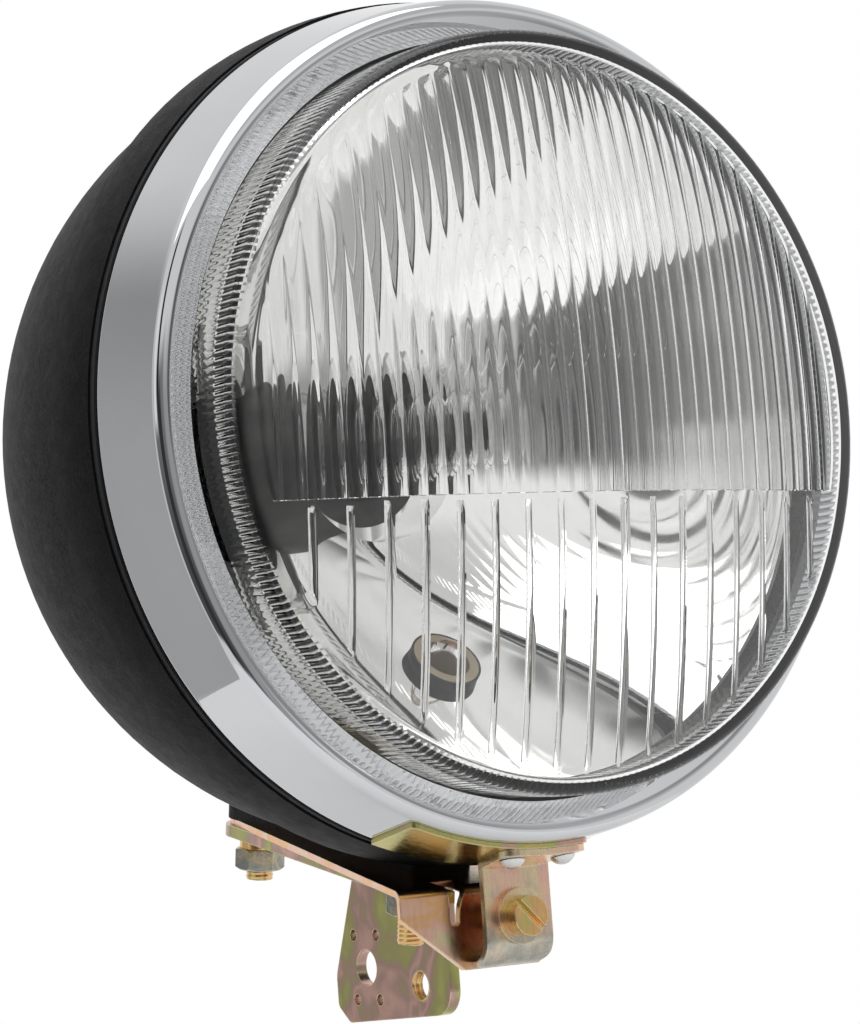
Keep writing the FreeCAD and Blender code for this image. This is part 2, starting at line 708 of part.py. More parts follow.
# Reflector
def parabola(r_start, r_end, shift):
    """Exact arc of the mirror's parabola, moved back by shift."""
    curve = Part.BezierCurve()
    middle_y = MIRROR_VERTEX_Y - r_start * r_end / (4 * MIRROR_FOCUS)
    curve.setPoles([section(r_start, mirror_y(r_start) + shift),
                    section((r_start + r_end) / 2, middle_y + shift),
                    section(r_end, mirror_y(r_end) + shift)])
    return curve.toShape()


def reflector():
    back_y = MIRROR_FRONT_Y + MIRROR_SHEET
    neck_out = NECK_RADIUS + MIRROR_SHEET
    run_out = [section(MIRROR_MOUTH, MIRROR_FRONT_Y), section(flange_radius(), MIRROR_FRONT_Y),
               section(flange_radius(), back_y), section(MIRROR_MOUTH, back_y)]
    run_in = [section(neck_out, mirror_y(neck_out) + MIRROR_SHEET), section(neck_out, NECK_END_Y),
              section(NECK_BORE, NECK_END_Y), section(NECK_BORE, NECK_END_Y - MIRROR_SHEET),
              section(NECK_RADIUS, NECK_END_Y - MIRROR_SHEET), section(NECK_RADIUS, mirror_y(NECK_RADIUS))]
    edges = [parabola(NECK_RADIUS, MIRROR_MOUTH, 0), parabola(neck_out, MIRROR_MOUTH, MIRROR_SHEET)]
    for run in (run_out, run_in):
        edges += [Part.LineSegment(a, b).toShape() for a, b in zip(run, run[1:])]
    shell = turned(Part.Face(Part.Wire(Part.__sortEdges__(edges))))
    hole = on_mirror(rod(PILOT_RADIUS + PART_GAP, V(0, 0, -PILOT_LENGTH), V(0, 0, PILOT_LENGTH)))
    return shell.cut(hole)


# Side light
def on_mirror(shape):
    """Place a shape, drawn about Z, square to the mirror at the side light's hole."""
    slope = PILOT_R / (2 * MIRROR_FOCUS)
    normal = V(0, -1, slope).normalize()
    shape.Placement = FreeCAD.Placement(V(0, mirror_y(PILOT_R), -PILOT_R), FreeCAD.Rotation(Z_AXIS, normal))
    return shape


def pilot_back():
    return PILOT_FRONT - PILOT_LENGTH


def pilot_holder():
    body = rod(PILOT_RADIUS, V(0, 0, pilot_back()), V(0, 0, PILOT_FRONT))
    shoulder_top = -PILOT_SHOULDER_DROP
    shoulder = rod(PILOT_SHOULDER, V(0, 0, shoulder_top - PILOT_SHOULDER_THICK), V(0, 0, shoulder_top))
    bore = rod(PILOT_BORE, V(0, 0, pilot_back()), V(0, 0, PILOT_FRONT))
    return on_mirror(body.fuse(shoulder).cut(bore).removeSplitter())


def pilot_bulb_glass():
    ball_z = PILOT_GLASS_TIP - PILOT_GLASS_RADIUS
    stem = rod(PILOT_GLASS_RADIUS, V(0, 0, PILOT_GLASS_ROOT), V(0, 0, ball_z))
    return on_mirror(stem.fuse(Part.makeSphere(PILOT_GLASS_RADIUS, V(0, 0, ball_z))).removeSplitter())


def pilot_bulb_base():
    root = PILOT_GLASS_ROOT - SEAT_GAP
    return on_mirror(rod(PILOT_BORE - PART_GAP, V(0, 0, root - PILOT_CAP_LENGTH), V(0, 0, root)))


# Main bulb
def main_bulb_glass():
    ball_y = BULB_TIP_Y + BULB_GLASS_RADIUS
    inner = BULB_GLASS_RADIUS - BULB_GLASS_WALL
    root = Y_AXIS * (BULB_COLLAR_Y - SEAT_GAP)
    outside = rod(BULB_GLASS_RADIUS, Y_AXIS * ball_y, root).fuse(
        Part.makeSphere(BULB_GLASS_RADIUS, Y_AXIS * ball_y))
    inside = rod(inner, Y_AXIS * ball_y, root).fuse(Part.makeSphere(inner, Y_AXIS * ball_y))
    return outside.cut(inside).removeSplitter()


def bulb_shield():
    """Cup that shades the dipped beam, on a stem from the bulb's collar."""
    inner = SHIELD_RADIUS - SHIELD_WALL
    front = Y_AXIS * SHIELD_FRONT_Y
    back = Y_AXIS * (SHIELD_FRONT_Y + SHIELD_LENGTH)
    cup = rod(SHIELD_RADIUS, front, back).cut(rod(inner, front + Y_AXIS * SHIELD_WALL, back))
    upper = Part.makeBox(2 * SHIELD_RADIUS, SHIELD_LENGTH, SHIELD_RADIUS,
                         V(-SHIELD_RADIUS, SHIELD_FRONT_Y + SHIELD_WALL, 0))
    stem_z = -(SHIELD_RADIUS + inner) / 2
    stem = rod(SHIELD_WALL, V(0, SHIELD_FRONT_Y + SHIELD_LENGTH - SHIELD_WALL, stem_z),
               V(0, BULB_COLLAR_Y - SEAT_GAP, stem_z))
    return cup.cut(upper).fuse(stem).removeSplitter()


def bulb_base_end():
    return NECK_END_Y + BULB_FLANGE_THICK + BULB_BASE_LENGTH


def blade(x, z, turned_by, grow):
    """Contact blade at the back of the bulb; grow widens it into the plug's slot."""
    width = BLADE_WIDTH + 2 * grow
    thick = BLADE_THICK + 2 * grow
    box = Part.makeBox(width, BLADE_LENGTH + grow, thick, V(-width / 2, bulb_base_end(), -thick / 2))
    box.rotate(CENTRE, Y_AXIS, turned_by)
    box.translate(V(x, 0, z))
    return box


def blades(grow):
    return [blade(0, BLADE_OFFSET, 0, grow), blade(BLADE_OFFSET, -BLADE_DROP, 90, grow),
            blade(-BLADE_OFFSET, -BLADE_DROP, 90, grow)]


def main_bulb_base():
    collar = rod(BULB_COLLAR_RADIUS, Y_AXIS * BULB_COLLAR_Y, Y_AXIS * NECK_END_Y)
    flange = rod(BULB_FLANGE_RADIUS, Y_AXIS * NECK_END_Y, Y_AXIS * (NECK_END_Y + BULB_FLANGE_THICK))
    body = rod(BULB_BASE_RADIUS, Y_AXIS * (NECK_END_Y + BULB_FLANGE_THICK), Y_AXIS * bulb_base_end())
    return collar.fuse([flange, body] + blades(0)).removeSplitter()


def bulb_retainer():
    """Ring that slips over the reflector's neck and presses on the bulb's flange."""
    bore = NECK_RADIUS + MIRROR_SHEET + PART_GAP
    seat = NECK_END_Y + BULB_FLANGE_THICK + SEAT_GAP
    start = Y_AXIS * (NECK_END_Y - RETAINER_SKIRT)
    end = Y_AXIS * (seat + RETAINER_LIP)
    ring = rod(bore + RETAINER_WALL, start, end).cut(rod(bore, start, Y_AXIS * seat))
    return ring.cut(rod(RETAINER_BORE, start, end))


def bulb_connector():
    start_y = bulb_base_end() + SEAT_GAP
    half_w = CONNECTOR_WIDTH / 2
    half_h = CONNECTOR_HEIGHT / 2
    outline = rounded_face([V(-half_w, 0, -half_h), V(half_w, 0, -half_h), V(half_w, 0, half_h),
                            V(-half_w, 0, half_h)], [CONNECTOR_CORNER] * 4)
    return thick_plate(outline, Y_AXIS, start_y, start_y + CONNECTOR_LENGTH).cut(blades(PART_GAP))


# Housing
def gasket_front():
    return SEAT_GAP


def housing_gasket():
    return tube(RIM_RADIUS, RIM_RADIUS - GASKET_WIDTH, Y_AXIS * gasket_front(),
                Y_AXIS * (GASKET_THICK - SEAT_GAP))


def ball_arc(radius, y):
    """Half section of a ball about the dome's centre, from height y to its top on the axis."""
    start = math.acos((y - DOME_CENTRE_Y) / radius)
    points = []
    for a in (start, start / 2, 0):
        points.append(section(radius * math.sin(a), DOME_CENTRE_Y + radius * math.cos(a)))
    return Part.Arc(*points).toShape()


def ball_r(radius, y):
    return math.sqrt(radius ** 2 - (y - DOME_CENTRE_Y) ** 2)


def housing_outside():
    """Solid of the housing's outer form, from its mouth to the back of the dome."""
    mouth = section(BAND_FRONT_RADIUS, GASKET_THICK)
    crease = section(CREASE_RADIUS, CREASE_Y)
    crown = section((BAND_FRONT_RADIUS + CREASE_RADIUS) / 2 + BAND_CROWN, (GASKET_THICK + CREASE_Y) / 2)
    shoulder = section(ball_r(DOME_RADIUS, SHOULDER_Y), SHOULDER_Y)
    start = section(0, GASKET_THICK)
    edges = [Part.LineSegment(start, mouth).toShape(), Part.Arc(mouth, crown, crease).toShape(),
             Part.LineSegment(crease, shoulder).toShape(), ball_arc(DOME_RADIUS, SHOULDER_Y),
             Part.LineSegment(section(0, DOME_CENTRE_Y + DOME_RADIUS), start).toShape()]
    return turned(Part.Face(Part.Wire(edges)))


def housing_inside():
    """The hollow, one wall in from the outer form, with the lip left at the mouth."""
    radius = DOME_RADIUS - HOUSING_WALL
    shoulder_r = ball_r(DOME_RADIUS, SHOULDER_Y)
    outer = [section(CREASE_RADIUS, GASKET_THICK), section(CREASE_RADIUS, CREASE_Y),
             section(shoulder_r, SHOULDER_Y), section(shoulder_r, DOME_CENTRE_Y + HOUSING_WALL)]
    inner = moved_sideways(outer, HOUSING_WALL, Z_AXIS)
    lip_y = GASKET_THICK + LIP_DEPTH
    shoulder = section(ball_r(radius, inner[2].y), inner[2].y)
    run = [section(0, GASKET_THICK - LIP_DEPTH), section(LIP_INNER, GASKET_THICK - LIP_DEPTH),
           section(LIP_INNER, lip_y), section(inner[1].x, lip_y), inner[1], shoulder]
    edges = [Part.LineSegment(a, b).toShape() for a, b in zip(run, run[1:])]
    edges.append(ball_arc(radius, shoulder.y))
    edges.append(Part.LineSegment(section(0, DOME_CENTRE_Y + radius), run[0]).toShape())
    return turned(Part.Face(Part.Wire(edges)))


def keel_plan(half, front, rear):
    """Outline along the strap with a square front and a round end about the rear bolt."""
    end = V(0, rear + half, 0)
    edges = [Part.LineSegment(V(-half, -front, 0), V(half, -front, 0)).toShape(),
             Part.LineSegment(V(half, -front, 0), V(half, rear, 0)).toShape(),
             Part.Arc(V(half, rear, 0), end, V(-half, rear, 0)).toShape(),
             Part.LineSegment(V(-half, rear, 0), V(-half, -front, 0)).toShape()]
    return Part.Face(Part.Wire(edges))


def on_keel_corner(edge):
    """True for the upright edges at the keel's front."""
    box = edge.BoundBox
    return abs(box.YMax + KEEL_FRONT) < TINY and box.ZLength > DOME_RADIUS / 2


def housing():
    """Moulded shell; the keel is hollow, and the screw heads sit on its floor."""
    keel = thick_plate(keel_plan(KEEL_HALF, KEEL_FRONT, BOLT_SPACING), Z_AXIS, 0, DOME_RADIUS)
    keel = keel.makeFillet(KEEL_CORNER, [e for e in keel.Edges if on_keel_corner(e)])
    shell = housing_outside().fuse(on_strap(keel)).cut(housing_inside())
    slot_half = M6_HEAD_RADIUS + SCREW_CLEARANCE
    slot = thick_plate(keel_plan(slot_half, slot_half, BOLT_SPACING), Z_AXIS, KEEL_FLOOR, DOME_RADIUS)
    shell = shell.cut(on_strap(slot))
    for place in bolt_places():
        shell = shell.cut(on_strap(bolt_hole(place)))
    inlet = on_dome(rod(GROMMET_HOLE, V(0, 0, -DOME_RADIUS / 2), V(0, 0, DOME_RADIUS)))
    return shell.cut(inlet).removeSplitter()


def on_dome(shape):
    """Place a shape, drawn about Z with the dome's outer face at 0, on the back of the dome."""
    angle = math.radians(GROMMET_ANGLE)
    normal = V(0, math.cos(angle), -math.sin(angle))
    foot = V(0, DOME_CENTRE_Y, 0) + normal * DOME_RADIUS
    shape.Placement = FreeCAD.Placement(foot, FreeCAD.Rotation(Z_AXIS, normal))
    return shape


def dome_sag(reach):
    """How far the dome's inner face curves away over a flat disc that touches it at its edge."""
    inner = DOME_RADIUS - HOUSING_WALL
    return inner - math.sqrt(inner ** 2 - reach ** 2)


def cable_grommet():
    """Rubber inlet with a groove for the wall; its nose is closed until a cable is pushed in."""
    inner_face = -HOUSING_WALL - dome_sag(GROMMET_FLANGE) - SEAT_GAP
    outside = rod(GROMMET_FLANGE, V(0, 0, 0), V(0, 0, GROMMET_FLANGE_THICK))
    groove = rod(GROMMET_HOLE - PART_GAP, V(0, 0, inner_face), V(0, 0, 0))
    inside = rod(GROMMET_FLANGE, V(0, 0, inner_face - GROMMET_FLANGE_THICK), V(0, 0, inner_face))
    nose_end = GROMMET_FLANGE_THICK + GROMMET_NOSE_LENGTH
    nose = Part.makeCone(GROMMET_NOSE + GROMMET_FLANGE_THICK, GROMMET_NOSE, GROMMET_NOSE_LENGTH,
                         V(0, 0, GROMMET_FLANGE_THICK))
    well = rod(GROMMET_NOSE - GROMMET_FLANGE_THICK, V(0, 0, inner_face - GROMMET_FLANGE_THICK),
               V(0, 0, nose_end - GROMMET_FLANGE_THICK / 2))
    return on_dome(outside.fuse([groove, inside, nose]).cut(well).removeSplitter())


# Straps and their fasteners
def bolt_hole(place):
    return rod(M6_RADIUS + SCREW_CLEARANCE, V(0, place, -KEEL_HALF), V(0, place, KEEL_HALF))


def washer_top():
    """Level of the lower strap's underside, counted from the upper strap's top face."""
    return -SADDLE_SHEET - MOUNT_SHEET


def nut_top():
    return washer_top() - LOCK_WASHER_THICK


def saddle_plan():
    """Plan of the upper strap: round at the rear bolt, widening to the front flange."""
    rear_y = FRONT_BOLT_Y + BOLT_SPAN_Y
    left = V(-SADDLE_LEFT, FLANGE_Y, 0)
    right = V(SADDLE_RIGHT, FLANGE_Y, 0)
    rear_left = V(-SADDLE_REAR_HALF, rear_y, 0)
    rear_right = V(SADDLE_REAR_HALF, rear_y, 0)
    edges = [Part.LineSegment(left, right).toShape(), Part.LineSegment(right, rear_right).toShape(),
             Part.Arc(rear_right, V(0, rear_y + SADDLE_REAR_HALF, 0), rear_left).toShape(),
             Part.LineSegment(rear_left, left).toShape()]
    return Part.Face(Part.Wire(edges))


def flange_notch():
    """Notch with a round end, left of the tongue that is round about the clamp screw."""
    top_z = strap_z(FLANGE_Y + NOTCH_DEPTH) + SADDLE_SHEET
    left = -TONGUE_RADIUS - NOTCH_WIDTH
    outline = [V(left, 0, CLAMP_Z), V(0, 0, CLAMP_Z), V(0, 0, top_z), V(left, 0, top_z)]
    block = thick_plate(rounded_face(outline), Y_AXIS, FLANGE_Y, FLANGE_Y + NOTCH_DEPTH)
    tongue = rod(TONGUE_RADIUS, clamp_axis(-RIM_DEPTH), clamp_axis(RIM_DEPTH))
    middle = V(left + NOTCH_WIDTH / 2, 0, 0)
    end = rod(NOTCH_WIDTH / 2, clamp_axis(FLANGE_Y) + middle, clamp_axis(FLANGE_Y + NOTCH_DEPTH) + middle)
    return block.cut(tongue).fuse(end)


def saddle_bracket():
    """Thin sheet under the keel, bent down at the front into a pointed flange."""
    rear_y = FRONT_BOLT_Y + BOLT_SPACING + MOUNT_REAR_HALF
    run = [side(rear_y, strap_z(rear_y)), side(FLANGE_Y, strap_z(FLANGE_Y)),
           side(FLANGE_Y, STRAP_TOP_Z - FLANGE_BOTTOM_DROP)]
    bent = thick_plate(sheet_face(run, SADDLE_BEND, SADDLE_SHEET, X_AXIS), X_AXIS,
                       -SADDLE_LEFT, SADDLE_RIGHT)
    left = -SADDLE_LEFT
    right = SADDLE_RIGHT
    tip = FLANGE_TIP_HALF
    low = STRAP_TOP_Z - FLANGE_BOTTOM_DROP
    shoulder = STRAP_TOP_Z - FLANGE_SHOULDER_DROP
    front = rounded_face([V(left, 0, 0), V(right, 0, 0), V(right, 0, shoulder), V(tip, 0, low),
                          V(-tip, 0, low), V(left, 0, shoulder)],
                         [0, 0, SADDLE_BEND, SADDLE_BEND, SADDLE_BEND, SADDLE_BEND])
    strap = bent.common(under_lamp(saddle_plan())).common(thick_plate(front, Y_AXIS, 0, FAR))
    strap = strap.cut([flange_notch(), clamp_hole()])
    for place in bolt_places():
        strap = strap.cut(on_strap(bolt_hole(place)))
    return strap


def mount_front():
    """How far the lower strap reaches ahead of the front bolt, along the strap."""
    front_y = FLANGE_Y + SADDLE_SHEET + SADDLE_BEND + MOUNT_BEND_ROOM
    return (FRONT_BOLT_Y - front_y) / math.cos(math.radians(STRAP_TILT))


def mount_strap():
    """Flat part of the lower strap, with one front arm that clears the clamp nut."""
    knee = PLATE_X - MOUNT_BEND
    arm_back = MOUNT_ARM_LENGTH - mount_front()
    plan = [V(-MOUNT_REAR_HALF, BOLT_SPACING, 0), V(-MOUNT_FRONT_HALF, -mount_front(), 0),
            V(-MOUNT_ARM_INSET, -mount_front(), 0), V(-MOUNT_ARM_INSET, arm_back, 0),
            V(knee, -MOUNT_SIDE_LEAD, 0), V(knee, BOLT_SPACING - MOUNT_REAR_HALF, 0),
            V(MOUNT_REAR_HALF, BOLT_SPACING, 0)]
    edges = [Part.LineSegment(a, b).toShape() for a, b in zip(plan, plan[1:])]
    edges.append(Part.Arc(plan[-1], V(0, BOLT_SPACING + MOUNT_REAR_HALF, 0), plan[0]).toShape())
    return on_strap(thick_plate(Part.Face(Part.Wire(edges)), Z_AXIS, washer_top(), -SADDLE_SHEET))


def plate_outline():
    """Side view of the drilled plate, carried up past the strap."""
    front_y = FRONT_BOLT_Y + PLATE_TOE_BACK
    rear_y = FRONT_BOLT_Y + PLATE_TOP_REAR_BACK
    top = strap_z(rear_y)
    points = [side(front_y, top), side(rear_y, top), side(rear_y, top - MOUNT_SHEET),
              below_bolt(PLATE_REAR_BACK, PLATE_REAR_TOP_DROP),
              below_bolt(PLATE_REAR_BACK, PLATE_REAR_LOW_DROP),
              below_bolt(PLATE_HEEL_BACK, PLATE_HEEL_DROP), below_bolt(PLATE_TOE_BACK, PLATE_TOE_DROP)]
    low = PLATE_LOW_CORNER
    return rounded_face(points, [0, 0, 0, PLATE_CORNER, low, low, PLATE_CORNER])


def plate_holes():
    """Through holes along X as (centre, radius)."""
    centre = side(CLEAR_HOLE_Y, CLEAR_HOLE_Z)
    holes = [(centre, CLEAR_HOLE_RADIUS),
             (below_bolt(THREAD_HOLE_BACK, THREAD_HOLE_DROP), THREAD_HOLE_RADIUS)]
    for dy in (-SMALL_HOLE_SPAN_Y / 2, SMALL_HOLE_SPAN_Y / 2):
        for dz in (-SMALL_HOLE_SPAN_Z / 2, SMALL_HOLE_SPAN_Z / 2):
            holes.append((centre + side(dy, dz), SMALL_HOLE_RADIUS))
    return holes


def mount_bracket():
    """Thicker sheet under the saddle, bent down along its right side into the drilled plate."""
    knee = PLATE_X - MOUNT_BEND
    deep = PLATE_HEEL_DROP + PLATE_HEEL_BACK
    run = [V(knee - MOUNT_BEND, 0, -SADDLE_SHEET), V(PLATE_OUTER_X, 0, -SADDLE_SHEET),
           V(PLATE_OUTER_X, 0, -deep)]
    angle = sheet_face(run, MOUNT_BEND, MOUNT_SHEET, Y_AXIS)
    bend = on_strap(thick_plate(angle, Y_AXIS, -mount_front(), BOLT_SPACING))
    plate = bend.common(thick_plate(plate_outline(), X_AXIS, knee - MOUNT_BEND / 2, PLATE_OUTER_X))
    bracket = mount_strap().fuse(plate).removeSplitter()
    for place in bolt_places():
        bracket = bracket.cut(on_strap(bolt_hole(place)))
    through = X_AXIS * (PLATE_OUTER_X + MOUNT_SHEET)
    holes = [rod(radius, centre, centre + through) for centre, radius in plate_holes()]
    return bracket.cut(holes)


def bracket_screws():
    screws = []
    for place in bolt_places():
        length = KEEL_FLOOR - nut_top() + M6_NUT_HEIGHT + SCREW_END
        if place == 0:
            length += FRONT_SCREW_EXTRA
        screw = cheese_screw(M6_RADIUS, length, M6_HEAD_RADIUS, M6_HEAD_HEIGHT, M6_SLOT_WIDTH, M6_SLOT_DEPTH)
        screw.translate(V(0, place, KEEL_FLOOR))
        screws.append(on_strap(screw))
    return Part.makeCompound(screws)


def lock_washers():
    washers = []
    for place in bolt_places():
        washer = tube(LOCK_WASHER_RADIUS, M6_RADIUS + SCREW_CLEARANCE, V(0, place, nut_top()),
                      V(0, place, washer_top()))
        washers.append(on_strap(washer))
    return Part.makeCompound(washers)


def bracket_nuts():
    nuts = []
    for place in bolt_places():
        nut = hex_nut(V(0, place, nut_top() - M6_NUT_HEIGHT), V(0, place, nut_top()), Y_AXIS,
                      M6_RADIUS, M6_FLATS)
        nuts.append(on_strap(nut))
    return Part.makeCompound(nuts)


PIECES = {
    "housing": housing,
    "housing_gasket": housing_gasket,
    "cable_grommet": cable_grommet,
    "rim": rim,
    "rim_hook": rim_hook,
    "rim_lug": rim_lug,
    "lug_rivets": lug_rivets,
    "clamp_clip": clamp_clip,
    "clamp_screw": clamp_screw,
    "clamp_washer": clamp_washer,
    "clamp_nut": clamp_nut,
    "lens": lens,
    "lens_seal": lens_seal,
    "reflector": reflector,
    "retaining_springs": retaining_springs,
    "main_bulb_glass": main_bulb_glass,
    "main_bulb_base": main_bulb_base,
    "bulb_shield": bulb_shield,
    "bulb_retainer": bulb_retainer,
    "bulb_connector": bulb_connector,
    "pilot_holder": pilot_holder,
    "pilot_bulb_glass": pilot_bulb_glass,
    "pilot_bulb_base": pilot_bulb_base,
    "saddle_bracket": saddle_bracket,
    "mount_bracket": mount_bracket,
    "bracket_screws": bracket_screws,
    "lock_washers": lock_washers,
    "bracket_nuts": bracket_nuts,
}


def main():
    os.makedirs("parts", exist_ok=True)
    for name, make in PIECES.items():
        piece = make()
        piece.translate(ORIGIN * -1)
        piece.exportStep(os.path.join("parts", name + ".step"))


main()
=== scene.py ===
"""Looks of a round motorcycle headlight: pressed glass, chrome, black plastic and zinc plate.

Shapes are worked out in millimetres in the lamp's own frame (Y along its axis with the glass
towards -Y, Z up, y = 0 at the rear edge of the chrome rim) and then placed in the frame.
"""
import math

import bmesh
import bpy
from mathutils import Matrix, Vector


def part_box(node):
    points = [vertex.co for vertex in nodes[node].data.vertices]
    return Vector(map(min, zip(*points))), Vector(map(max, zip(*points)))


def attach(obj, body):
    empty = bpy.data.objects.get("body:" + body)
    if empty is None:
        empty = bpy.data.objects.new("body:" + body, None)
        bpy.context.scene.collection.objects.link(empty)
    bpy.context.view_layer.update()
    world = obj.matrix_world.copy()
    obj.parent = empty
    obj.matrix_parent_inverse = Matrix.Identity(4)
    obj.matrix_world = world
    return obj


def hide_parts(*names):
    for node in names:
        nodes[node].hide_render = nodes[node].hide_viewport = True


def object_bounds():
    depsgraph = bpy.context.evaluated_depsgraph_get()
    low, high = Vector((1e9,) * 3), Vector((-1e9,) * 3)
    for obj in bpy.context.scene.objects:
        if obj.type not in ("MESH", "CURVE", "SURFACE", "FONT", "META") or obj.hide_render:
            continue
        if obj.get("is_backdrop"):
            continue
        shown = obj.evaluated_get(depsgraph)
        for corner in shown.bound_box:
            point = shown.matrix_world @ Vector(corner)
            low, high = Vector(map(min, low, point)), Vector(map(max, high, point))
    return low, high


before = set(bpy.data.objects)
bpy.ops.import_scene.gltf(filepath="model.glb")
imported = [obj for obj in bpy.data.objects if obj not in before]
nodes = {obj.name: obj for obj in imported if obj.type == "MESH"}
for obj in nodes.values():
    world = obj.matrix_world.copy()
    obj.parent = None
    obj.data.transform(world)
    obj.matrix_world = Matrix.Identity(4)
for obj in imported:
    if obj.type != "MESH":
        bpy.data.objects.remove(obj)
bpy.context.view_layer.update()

MM = 0.001
rim_low, rim_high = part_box("rim")
LAMP = Vector(((rim_low[0] + rim_high[0]) / 2, rim_high[1], (rim_low[2] + rim_high[2]) / 2))

# Camera
CAMERA_AZIMUTH = -35.0
CAMERA_ELEVATION = -4.32
CAMERA_ROLL = -4.22
CAMERA_DISTANCE = 750.0
CAMERA_RIGHT = -8.84
CAMERA_UP = -18.04
FOCAL_PIXELS = 3510.0
IMAGE_WIDTH = 860.0
SENSOR = 36.0

# Stage, in metres
FLOOR_RADIUS = 0.19
FLOOR_DROP = 0.05
FLOOR_SIDES = 96
FLOOR_GLOW = 0.2
TOP_BOX_SIZE = 0.8

# Light
TOP_BOX_PLACE = (-150.0, -100.0, 700.0)
TOP_BOX_POWER = 3.0
PATH_LENGTH = 32
SOFT_LIGHT = 0.96
TENT_WHITE = 0.95
WHITE = (1.0, 1.0, 1.0, 1.0)

# Panels of the light tent, each over the ones before it: azimuth and elevation in degrees, both as
# (from, softness, to, softness), and the level. Four numbers as a level fade from the first to the
# second between two elevations.
TENT_PANELS = [
    ((-157, 4, -104, 3), (-41, 1, 36, 10), (0.54, 0.42, 0, 28)),
    ((-104, 3, -90, 2), (-41, 1, 34, 8), 0.78),
    ((-5, 6, 78, 8), (36, 6, 72, 6), 0.70),
    ((-24, 8, 10, 6), (-42, 2, 13, 6), 0.46),
    ((8, 5, 38, 8), (-14, 4, 20, 5), 0.38),
    ((10, 3, 24, 4), (5, 2, 17, 2), 0.15),
    ((-92, 2, -19, 7), (-42, 2, 17, 5), (0.10, 0.30, -30, 24)),
    ((-64, 3, -40, 3), (-45, 3, 12, 5), 0.05),
    ((-66, 2, -53, 2), (8, 3, 44, 4), 0.03),
    ((-90, 2, -70, 2), (4, 3, 32, 4), 1.1),
]

# Pressed glass
WALL_RADIUS = 79.6
WALL = 3.0
FLANGE_RADIUS = 84.5
FLANGE_FRONT_Y = -16.7
FLANGE_BACK_Y = -13.7
GLASS_FRONT_Y = -43.2
DOME_RADIUS = 300.0
GLASS_THICK = 3.8
GLASS_CORNER = 3.0
INNER_CORNER = 1.6
OPTIC_RADIUS = 73.5
OPTIC_FADE = 1.2
BEAM_EDGE_Z = -17.9
BEAM_STEP = 0.15
FLUTE_PITCH = 4.3
FLUTE_LAND = 0.25
FLUTE_DEPTH = 0.36
RIB_PITCH = 7.92
RIB_COUNT = 17
RIB_HALF = 0.8
RIB_HEIGHT = 0.6
RIB_TOP_Z = -19.3
RIB_TOP_FADE = 1.3
TEETH = 288
TEETH_FROM_Y = -23.0
TEETH_TO_Y = -34.2
TEETH_FADE = 0.8
TOOTH_HEIGHT = 0.3
TOOTH_SHARE = 0.62

# Chrome rim: its outer skin as (r, y) with the bend at each point
RIM_SKIN = [(89.597, 0.0), (91.997, 0.0), (88.3, -20.2), (80.3, -17.9)]
RIM_BENDS = [0.0, 0.3, 2.3, 0.0]
RIM_SHEET = 0.9

# Reflector
FOCUS = 27.0
MIRROR_MOUTH = 76.5
MIRROR_FRONT_Y = -12.7
MIRROR_SHEET = 0.9
NECK_RADIUS = 21.0
NECK_BORE = 17.0
NECK_LENGTH = 4.5
FLANGE_STEP = 0.1
PILOT_Z = -50.0
PILOT_HOLE = 6.7
PILOT_REACH = 20.0
PILOT_CREAM = 7.5

# Screw threads and where they are
STRAP_TILT = 10.4
STRAP_TOP_Z = -91.4
FRONT_BOLT_Y = 33.7
BOLT_SPACING = 62.98
NUT_BOTTOM = 12.15
REAR_THREAD = 2.1
FRONT_THREAD = 6.2
M6_PITCH = 1.0
M6_BACK = 2.9
M6_ROOT = 3.01
M6_CREST = 3.2
PLATE_X = 8.42
PLATE_THICK = 2.66
TAPPED_HOLE_Y = 46.8
TAPPED_HOLE_Z = -119.9
M8_PITCH = 1.25
M8_BACK = 3.39
M8_ROOT = 3.32
M8_CREST = 2.95

# How finely the meshes are divided
SEGMENTS = 288
DOME_RINGS = 24
CORNER_STEPS = 8
INNER_CORNER_STEPS = 4
FLUTE_STEPS = 5
RIB_STEPS = 7
COLUMN_INSET = 0.05
COLUMN_LEAST = 0.04
UPPER_ROWS = 26
UPPER_LEAST = 0.6
UPPER_CROWDING = 1.7
LOWER_ROWS = 20
LOWER_LEAST = 0.5
LOWER_CROWDING = 0.35
BEAM_STEP_SHARE = 8
TOOTH_STEPS = 8
TOOTH_FADE_STEPS = 3
RIM_SEGMENTS = 360
RIM_SKIN_STEPS = 14
RIM_INNER_STEPS = 10
STRAIGHT_SHARES = (0.02, 0.25, 0.5, 0.75, 0.98)
MIRROR_ROWS = 64
THREAD_STEPS = 48
THREAD_ROWS = 8

# Angles, in degrees, from which an edge is sharp
GLASS_SHARP = 22
SHEET_SHARP = 35
THREAD_SHARP = 50

# Crease between the housing's band and its dome, and where the band's painted shade gives way to the dome's
# painted light
CREASE_Y = 17.7
CREASE_SHADE_BLEND = (-0.1, 0.3)

# Where the clip's plate has turned to the painted silver-grey shade of its bend, and where it keeps its rosy
# film
CLIP_BEND_SHADE_Z = -110.0
CLIP_ROSY_Z = -103.0


def lamp_point(x, y, z):
    """A point of the lamp's own frame, in the shared frame."""
    return LAMP + Vector((x, y, z)) * MM


def smooth_step(low, high, value):
    t = min(max((value - low) / (high - low), 0.0), 1.0)
    return t * t * (3 - 2 * t)


